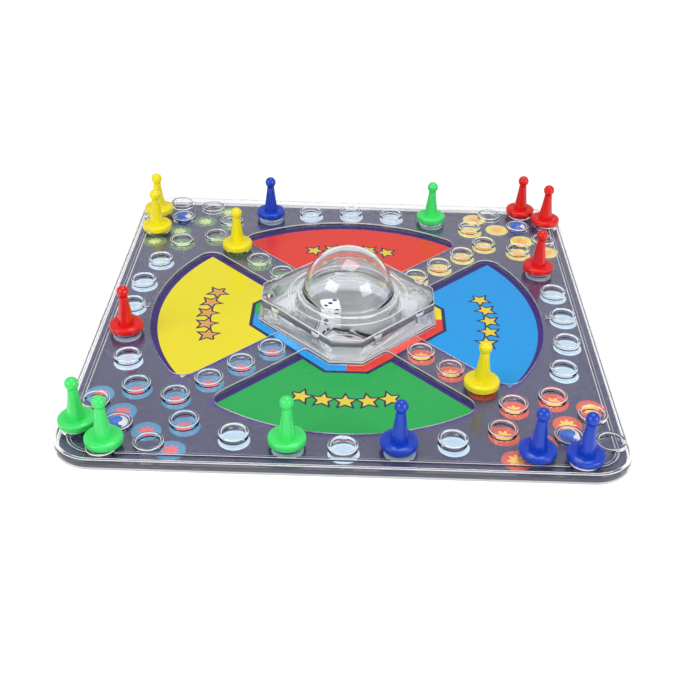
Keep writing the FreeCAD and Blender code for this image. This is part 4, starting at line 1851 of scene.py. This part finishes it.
@dataclass
class Press:
    """The press: the dome with its foot and push tube, the press plate, its ring and snap legs.

    Attributes:
        bottom: The height of the press plate's lower face.
        top: The height of its upper face.
        plate_round: How far the plate's edges are rounded.
        plate_lap: How far the plate reaches in under the dome's foot.
        cut_bottom: The height from which the hole under the dome is cut.
        cut_top: The height up to which it is cut.
        dome_outer: The dome's outer radius.
        dome_inner: The dome's inner radius.
        dome_centre: The height of the dome's centre.
        tube_bottom: The height of the push tube's lower end.
        foot_radius: The radius of the dome's foot.
        foot_top: The height of the foot's rim.
        foot_lap: How far the foot reaches into the dome's wall.
        foot_thick: The thickness of the foot.
        ring_inner: The low ring's inner radius.
        ring_outer: The low ring's outer radius.
        ring_side: The height of the low ring's sides.
        ring_top: The height of the low ring's top.
        ring_cut: How far the low ring's edges are cut back.
        leg_inner: The distance of a snap leg's inner side from the middle.
        leg_thick: A leg's thickness.
        leg_width: A leg's width.
        leg_bottom: The height of a leg's lower end.
        lap: How far the legs and the low ring reach into the plate.
        hook_in: How far a leg's hook stands in from the leg.
        hook_out: How far the hook reaches into the leg.
        hook_top: The height of the hook.
        tab_width: The width of the tab at a leg's root.
        tab_in: How far the tab stands in from the leg.
        tab_out: How far the tab reaches out from the leg's inner side.
        tab_bottom: The height of the tab's lower end.
        shape: The module's outline.
    """

    bottom: float = 14.2
    top: float = 15.2
    plate_round: float = 0.32
    plate_lap: float = 1.8
    cut_bottom: float = 10.0
    cut_top: float = 20.0
    dome_outer: float = 23.0
    dome_inner: float = 21.5
    dome_centre: float = 17.2
    tube_bottom: float = 4.034
    foot_radius: float = 27.0
    foot_top: float = 15.9
    foot_lap: float = 0.1
    foot_thick: float = 1.0
    ring_inner: float = 29.6
    ring_outer: float = 31.0
    ring_side: float = 15.25
    ring_top: float = 15.55
    ring_cut: float = 0.4
    leg_inner: float = 36.25
    leg_thick: float = 0.9
    leg_width: float = 4.0
    leg_bottom: float = 8.6
    lap: float = 0.3
    hook_in: float = 1.2
    hook_out: float = 0.4
    hook_top: float = 9.4
    tab_width: float = 4.1
    tab_in: float = 0.1
    tab_out: float = 1.0
    tab_bottom: float = 12.5
    shape: ModuleShape = field(default_factory=ModuleShape)

    def dome(self) -> Bench:
        """The dome with its flared foot and push tube.

        Returns:
            The dome on its bench.
        """
        centre = (0, self.dome_centre)
        outline = [(0, self.dome_centre + self.dome_inner)]
        outline += arc(centre, self.dome_inner, 90, 0, 24)[1:]
        outline += [(self.dome_inner, self.tube_bottom), (self.dome_outer, self.tube_bottom)]
        flare = self.foot_radius - self.dome_outer + self.foot_lap
        middle = (self.foot_radius, self.foot_top - self.foot_lap + flare)
        outline += arc(middle, flare + self.foot_thick, -141.5, -90, 8)
        outline += arc(middle, flare, -90, -176, 10)
        outline += arc(centre, self.dome_outer, 7, 90, 24)[:-1]
        outline += [(0, self.dome_centre + self.dome_outer)]
        return Bench.lathe(outline, LARGE_STEPS)

    def low_ring(self) -> Bench:
        """The low ring on the press plate, with its edges cut back.

        Returns:
            The ring on its bench.
        """
        low, side, top = self.bottom + self.lap, self.ring_side, self.ring_top
        inner, outer = self.ring_inner, self.ring_outer
        outline = [(inner, low), (outer, low), (outer, side)]
        outline += [(outer - self.ring_cut, top), (inner + self.ring_cut, top), (inner, side)]
        return Bench.lathe(outline, LARGE_STEPS)

    def legs(self) -> Bench:
        """The eight snap legs, each with its hook below and its tab above.

        Returns:
            The legs as one mesh on its bench.
        """
        inner, low, top = self.leg_inner, self.leg_bottom, self.bottom + self.lap
        legs = self.shape.on_faces(inner, inner + self.leg_thick, self.leg_width, low, top)
        hook_in, hook_out = inner - self.hook_in, inner + self.hook_out
        hooks = self.shape.on_faces(hook_in, hook_out, self.leg_width, low, self.hook_top)
        tab_in, tab_out = inner - self.tab_in, inner + self.tab_out
        tabs = self.shape.on_faces(tab_in, tab_out, self.tab_width, self.tab_bottom, top)
        return legs.combine(hooks, Fuse.JOIN).combine(tabs, Fuse.JOIN)

    def build(self, finish: bpy.types.Material, edge: bpy.types.Material) -> bpy.types.Object:
        """Model the press as one piece and dress it.

        Args:
            finish: Its clear finish.
            edge: The painted highlight finish of its rounded edges and tabs.

        Returns:
            The finished press.
        """
        plate = self.shape.prism(0, self.bottom, self.top).soften(self.plate_round, 2)
        hole = self.foot_radius - self.plate_lap
        plate.combine(Bench.disc(hole, self.cut_bottom, self.cut_top, LARGE_STEPS), Fuse.CUT)
        for part in (self.low_ring(), self.legs(), self.dome()):
            plate.combine(part, Fuse.JOIN)
        nodes = ["press_dome", "press_plate", "press_ring"]
        piece = plate.smooth(30).finish("press_dome_clear", "press_dome", "clear_dome", nodes)
        dress(piece, finish, edge)
        # Rounded edges of the plate and the tabs' sides get a painted highlight.
        mark_faces(piece, self.gets_painted_highlight)
        return piece

    def gets_painted_highlight(self, middle: Vector, normal: Vector) -> bool:
        """Whether a face outside the dome is a rounded edge of the plate or a side of a snap tab, which
        gets a painted highlight.
        """
        tab = abs(normal.z) < 0.5 and self.tab_bottom - 0.1 < middle.z < self.bottom
        rounded = is_rounded(normal) and middle.z > self.bottom - 0.2
        return middle.xy.length > self.dome_outer + 2 and (rounded or tab)


@dataclass
class SpringPlate:
    """The domed spring plate under the die, modelled at rest; the real plate flattens as the dome goes
    down.

    Attributes:
        bottom: The height of its rim's lower face.
        top: The height of its crown's upper face.
        thick: Its thickness.
        crown: The radius of its flat crown.
        rim: The radius of its rim.
        ease: How far each side of the crown's edge the bend reaches.
        ease_drop: How far the bend has dropped at its outer end.
    """

    bottom: float = 1.9
    top: float = 4.4
    thick: float = 0.4
    crown: float = 19.9
    rim: float = 26.4
    ease: float = 0.9
    ease_drop: float = 0.3

    def build(self, finish: bpy.types.Material) -> bpy.types.Object:
        """Model the plate and give it a mesh of its own.

        Args:
            finish: Its steel finish.

        Returns:
            The finished plate.
        """
        low = self.top - self.thick
        inside, outside = self.crown - self.ease, self.crown + self.ease
        outline = [(0, low), (inside, low), (outside, low - self.ease_drop), (self.rim, self.bottom)]
        outline += [(self.rim, self.bottom + self.thick), (outside, self.top - self.ease_drop)]
        outline += [(inside, self.top), (0, self.top)]
        plate = Bench.lathe(outline, LARGE_STEPS).smooth()
        piece = plate.finish("spring_plate_steel", "board", "spring_steel", ["pop_plate"])
        dress(piece, finish)
        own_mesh(piece)
        return piece


@dataclass
class Die:
    """The die with its dimpled spots.

    Attributes:
        size: Its width.
        rounding: How far its edges are rounded.
        spot: The radius of a spot.
        depth: The depth of a spot.
        spacing: The distance of a spot from the next, along an edge.
        place: Its middle.
        turn: Its turn about the upright axis, in degrees.
    """

    size: float = 10.0
    rounding: float = 1.3
    spot: float = 1.25
    depth: float = 0.4
    spacing: float = 2.6
    place: Place = (-8.8, -9.2, 9.45)
    turn: float = 10.0

    def spots(self, count: int) -> list[Point]:
        """The spots of a face.

        Args:
            count: How many it has.

        Returns:
            Their places in steps of the spacing.
        """
        corners = [(-1, -1), (1, 1), (-1, 1), (1, -1)]
        middle = [(0, 0)] if count % 2 else []
        sides = [(-1, 0), (1, 0)] if count == 6 else []
        return corners[: count - len(middle) - len(sides)] + middle + sides

    def dimples(self) -> Bench:
        """The cutter for every spot, with opposite faces adding up to seven.

        Returns:
            The balls as one mesh on its bench.
        """
        ball = (self.spot**2 + self.depth**2) / (2 * self.depth)
        reach = self.size / 2 + ball - self.depth
        right, back, up = Vector((1, 0, 0)), Vector((0, 1, 0)), Vector((0, 0, 1))
        balls = []
        for count, outward in {3: up, 4: -up, 2: -back, 5: back, 1: right, 6: -right}.items():
            across = back if outward.x else right
            along = back if outward.z else up
            for u, v in self.spots(count):
                centre = outward * reach + across * (u * self.spacing) + along * (v * self.spacing)
                Bench.clear()
                bpy.ops.mesh.primitive_uv_sphere_add(
                    segments=24, ring_count=24, radius=ball, location=centre
                )
                balls.append(Bench.started())
        cutter = Bench.gathered(balls)
        cutter.settle()
        return cutter

    def build(self, body: bpy.types.Material, spots: bpy.types.Material) -> bpy.types.Object:
        """Model the die, dimple it and dress its spots in their own finish.

        Args:
            body: The die's white finish.
            spots: The finish of its spots.

        Returns:
            The finished die.
        """
        half = self.size / 2
        die = Bench.block((-half, -half, -half), (half, half, half))
        with die.editing():
            bpy.ops.mesh.select_all(action="SELECT")
            bpy.ops.mesh.bevel(offset=self.rounding, segments=6, affect="EDGES")
        cutter = self.dimples()
        dress(die.obj, body, spots)
        dress(cutter.obj, body, spots)
        for polygon in cutter.obj.data.polygons:
            polygon.material_index = 1
        die.combine(cutter, Fuse.CUT)
        die.move(*self.place, self.turn).smooth(25)
        return die.finish("die_white_spotted", "die", "die_white", ["die"])


@dataclass
class Pawn:
    """One pawn: a round flange, an eight-sided waisted body and a ball.

    Attributes:
        flange: The flange's radius.
        side: The height of the flange's side.
        base_round: The radius of its lower edge.
        side_round: The radius of its upper edge.
        side_lap: How far that edge begins below the side's top.
        ring: The radius of the raised ring on the flange.
        ring_top: The height of the ring.
        ring_width: The ring's width.
        crest: The ring's crest, as steps from its outer top corner.
        valley: The height of the flange inside the ring.
        flange_top: The height at which the body begins to narrow.
        seat: The radius of the hollow seat under the flange.
        seat_depth: The depth of that seat.
        waist: The body's width across its sides, at the foot.
        neck: The neck's width across its sides.
        neck_height: The height of the neck.
        bend: The share of the neck's width that the body has at its bend.
        bend_height: The share of the body's height at which it bends.
        body_round: How far the body's edges are rounded.
        ball: The ball's radius.
        ball_height: The height of the ball's middle.
        ball_root: How far the ball's root reaches into the neck.
        root_gap: How far the root stays inside the neck's side.
        sides: How many sides the body has.
    """

    flange: float = 8.4
    side: float = 2.6
    base_round: float = 0.4
    side_round: float = 0.9
    side_lap: float = 0.3
    ring: float = 6.7
    ring_top: float = 3.6
    ring_width: float = 1.8
    crest: tuple[Point, ...] = ((0.0, -0.08), (-0.5, 0.0), (-1.1, -0.06))
    valley: float = 3.35
    flange_top: float = 3.9
    seat: float = 6.9
    seat_depth: float = 0.4
    waist: float = 7.6
    neck: float = 4.1
    neck_height: float = 18.2
    bend: float = 1.16
    bend_height: float = 0.76
    body_round: float = 0.22
    ball: float = 3.1
    ball_height: float = 20.9
    ball_root: float = 0.6
    root_gap: float = 0.1
    sides: int = 8

    def foot(self) -> Bench:
        """The flange with its ring and the hollow seat under it.

        Returns:
            The foot on its bench.
        """
        base, side = self.base_round, self.side_round
        outline = [(0, self.seat_depth), (self.seat, self.seat_depth), (self.seat, 0)]
        outline += arc((self.flange - base, base), base, -90, 0, 3)
        outline += arc((self.flange - side, self.side - self.side_lap), side, 0, 75, 6)
        outline += [(self.ring + across, self.ring_top + up) for across, up in self.crest]
        outline += [(self.ring - self.ring_width, self.valley), (0, self.valley)]
        return Bench.lathe(outline, 72)

    def body(self) -> Bench:
        """The waisted body with its softened edges.

        Returns:
            The body on its bench.
        """
        across = math.cos(math.pi / self.sides)
        waist, neck = self.waist / 2 / across, self.neck / 2 / across
        rise = self.neck_height - self.flange_top
        body = Bench.disc(waist, self.side, self.flange_top, self.sides, HALF_EIGHTH)
        with body.editing():
            body.pick_faces(looks_up)
            body.extrude(rise * self.bend_height)
            body.grow(neck * self.bend / waist)
            body.extrude(rise * (1 - self.bend_height))
            body.grow(1 / self.bend)
        return body.soften(self.body_round, 2, 30)

    def head(self) -> Bench:
        """The ball and its root in the neck.

        Returns:
            The ball on its bench.
        """
        low = self.neck_height - self.ball_root
        start = math.degrees(math.asin(-(self.ball_height - self.neck_height) / self.ball))
        outline = [(0, low), (self.neck / 2 - self.root_gap, low)]
        outline += arc((0, self.ball_height), self.ball, start, 90, 16)[:-1]
        outline += [(0, self.ball_height + self.ball)]
        return Bench.lathe(outline, SMALL_STEPS)

    def pattern(self) -> Bench:
        """The pawn at the board's middle."""
        return self.foot().combine(self.body(), Fuse.JOIN).combine(self.head(), Fuse.JOIN)


@dataclass
class PawnSet:
    """The sixteen pawns at their places.

    Attributes:
        each: How many pawns a colour has.
        pawn: The pawn that is copied.
    """

    each: int = 4
    pawn: Pawn = field(default_factory=Pawn)

    def build(self, finishes: dict[str, bpy.types.Material]) -> list[bpy.types.Object]:
        """Copy the pawn to the middle of each packed pawn and dress it in its colour.

        Args:
            finishes: A finish for each colour's name.

        Returns:
            The finished pawns.
        """
        pattern = self.pawn.pattern()
        pieces = []
        for colour, finish in finishes.items():
            for number in range(1, self.each + 1):
                node = f"pawn_{colour}_{number}"
                low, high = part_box(node)
                middle = (low + high) / 2 / METRES
                copy = pattern.twin().move(middle.x, middle.y, low.z / METRES).smooth(32)
                piece = copy.finish(f"{node}_moulding", node, f"pawn_{colour}", [node])
                dress(piece, finish)
                pieces.append(piece)
        pattern.discard()
        return pieces


@dataclass(frozen=True)
class Softbox:
    """A rectangular lamp that faces the board.

    Attributes:
        name: Its name.
        toward: The direction from the board in which it hangs.
        distance: Its distance from the board's middle, in metres.
        size: Its width and height in metres.
        power: Its power in watts.
    """

    name: str
    toward: Place
    distance: float
    size: Point
    power: float

    def hang(self) -> None:
        """Put the lamp up."""
        data = bpy.data.lights.new(self.name, "AREA")
        data.shape = "RECTANGLE"
        data.size, data.size_y = self.size
        data.energy = self.power
        lamp = bpy.data.objects.new(self.name, data)
        bpy.context.scene.collection.objects.link(lamp)
        direction = Vector(self.toward).normalized()
        lamp.location = direction * self.distance
        lamp.rotation_euler = direction.to_track_quat("Z", "Y").to_euler()


@dataclass
class Studio:
    """The floor, the light and the camera.

    The camera's focal length is in the photograph's pixels and its angles are in radians. Its side
    and rise say how far left of and above the photograph's middle the board lies, as seen from the
    point at board_offset's height. The levels say how bright the surround looks to the camera,
    through clear plastic and in shine. The floor's own light is its glow, of which the camera and
    shine see a share each, and the rest of the floor keeps the shadow. Its size and drop below the
    table's height are in metres.
    """

    focal: float = 1048.46
    frame_width: int = 700
    sensor: float = 36.0
    azimuth: float = -8.9527e-4
    elevation: float = 0.5949582
    roll: float = 0.0306792
    side: float = -1.2225
    rise: float = 21.9355
    distance: float = 545.8135
    board_offset: float = 6.2
    surround: float = 0.35
    levels: tuple[tuple[str, float], ...] = (
        ("Is Camera Ray", 1.0),
        ("Is Transmission Ray", 0.75),
        ("Is Glossy Ray", 0.5),
    )
    softboxes: tuple[Softbox, ...] = (
        Softbox("left_softbox", (-0.70, -0.59, 0.50), 1.1, (0.66, 0.50), 4.2),
        Softbox("right_softbox", (0.76, -0.61, 0.40), 1.1, (0.56, 0.54), 3.9),
        Softbox("top_softbox", (0.05, 0.10, 1.0), 1.3, (0.7, 0.7), 5.4),
    )
    floor_size: float = 8.0
    floor_drop: float = 0.0002
    floor_glow: float = 1.36
    floor_seen: float = 0.65
    floor_shine: float = 0.55

    def camera(self) -> None:
        """Set the camera up at the photograph's angle."""
        az, el = self.azimuth, self.elevation
        back = Vector((math.sin(az) * math.cos(el), -math.cos(az) * math.cos(el), math.sin(el)))
        right = Vector((math.cos(az), math.sin(az), 0))
        up = back.cross(right)
        turned_right = math.cos(self.roll) * right + math.sin(self.roll) * up
        turned_up = -math.sin(self.roll) * right + math.cos(self.roll) * up
        place = -self.side * turned_right - self.rise * turned_up + self.distance * back
        place.z += self.board_offset
        data = bpy.data.cameras.new("view")
        data.sensor_width = self.sensor
        data.lens = self.sensor * self.focal / self.frame_width
        data.clip_start = 0.01
        camera = bpy.data.objects.new("view", data)
        bpy.context.scene.collection.objects.link(camera)
        axes = Matrix((turned_right, turned_up, back)).transposed().to_4x4()
        camera.matrix_world = Matrix.Translation(place * METRES) @ axes
        bpy.context.scene.camera = camera

    def lights(self) -> None:
        """Hang the softboxes and light the board evenly from all round."""
        for softbox in self.softboxes:
            softbox.hang()
        world = bpy.data.worlds.new("surround")
        bpy.context.scene.world = world
        graph = Graph(world)
        seen = [
            graph.light_path(ray).maths("MULTIPLY_ADD", level - self.surround, self.surround)
            for ray, level in self.levels
        ]
        level = seen[0]
        for other in seen[1:]:
            level = level.most(other)
        values = {"Color": (1, 1, 1, 1), "Strength": level}
        sky = graph.tap(graph.node("ShaderNodeBackground", {}, values))
        graph.node("ShaderNodeOutputWorld", {}, {"Surface": sky})

    def floor(self) -> None:
        """Lay a plain white floor that keeps a soft shadow of the board."""
        Bench.clear()
        bpy.ops.mesh.primitive_plane_add(size=self.floor_size, location=(0, 0, -self.floor_drop))
        floor = bpy.context.active_object
        floor.name = "floor"
        graph = Graph.material("white_floor")
        matt = graph.surface(Base_Color=(0.9, 0.9, 0.9, 1), Roughness=0.9, Specular_IOR_Level=0.1)
        values = {"Color": (1, 1, 1, 1), "Strength": self.floor_glow}
        white = graph.tap(graph.node("ShaderNodeEmission", {}, values))
        shine = graph.light_path("Is Transmission Ray").most(graph.light_path("Is Glossy Ray"))
        seen = graph.light_path("Is Camera Ray") * self.floor_seen
        share = (shine * self.floor_shine).most(seen)
        dress(floor, graph.done(graph.between(share, matt, white)))


def main() -> None:
    """Build every piece of the game and the studio round it."""
    logging.basicConfig(level=logging.INFO, format="%(name)s %(message)s")
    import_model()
    # edge is the painted highlight finish and dark is the painted shade finish.
    edge, dark = EDGE_PAINTED_HIGHLIGHT.build(), PAINTED_SHADE_CLEAR.build()
    Cover().build(COVER_CLEAR.build(), edge, dark)
    stack = CardStack()
    stack.card(PrintedCardFinish().build())
    stack.tray(TRAY_CLEAR.build())
    stack.studs(STUD_BLUE.build(), edge)
    Housing().build(HOUSING_CLEAR.build(), edge, dark)
    Press().build(DOME_CLEAR.build(), edge)
    SpringPlate().build(SpringSteel().build())
    Die().build(DIE_BODY.build(), DIE_SPOTS.build())
    PawnSet().build({colour: finish.build() for colour, finish in PAWN_COLOURS.items()})
    bpy.context.scene.view_settings.view_transform = "Standard"
    studio = Studio()
    studio.camera()
    studio.lights()
    studio.floor()


if __name__ == "__main__":
    main()
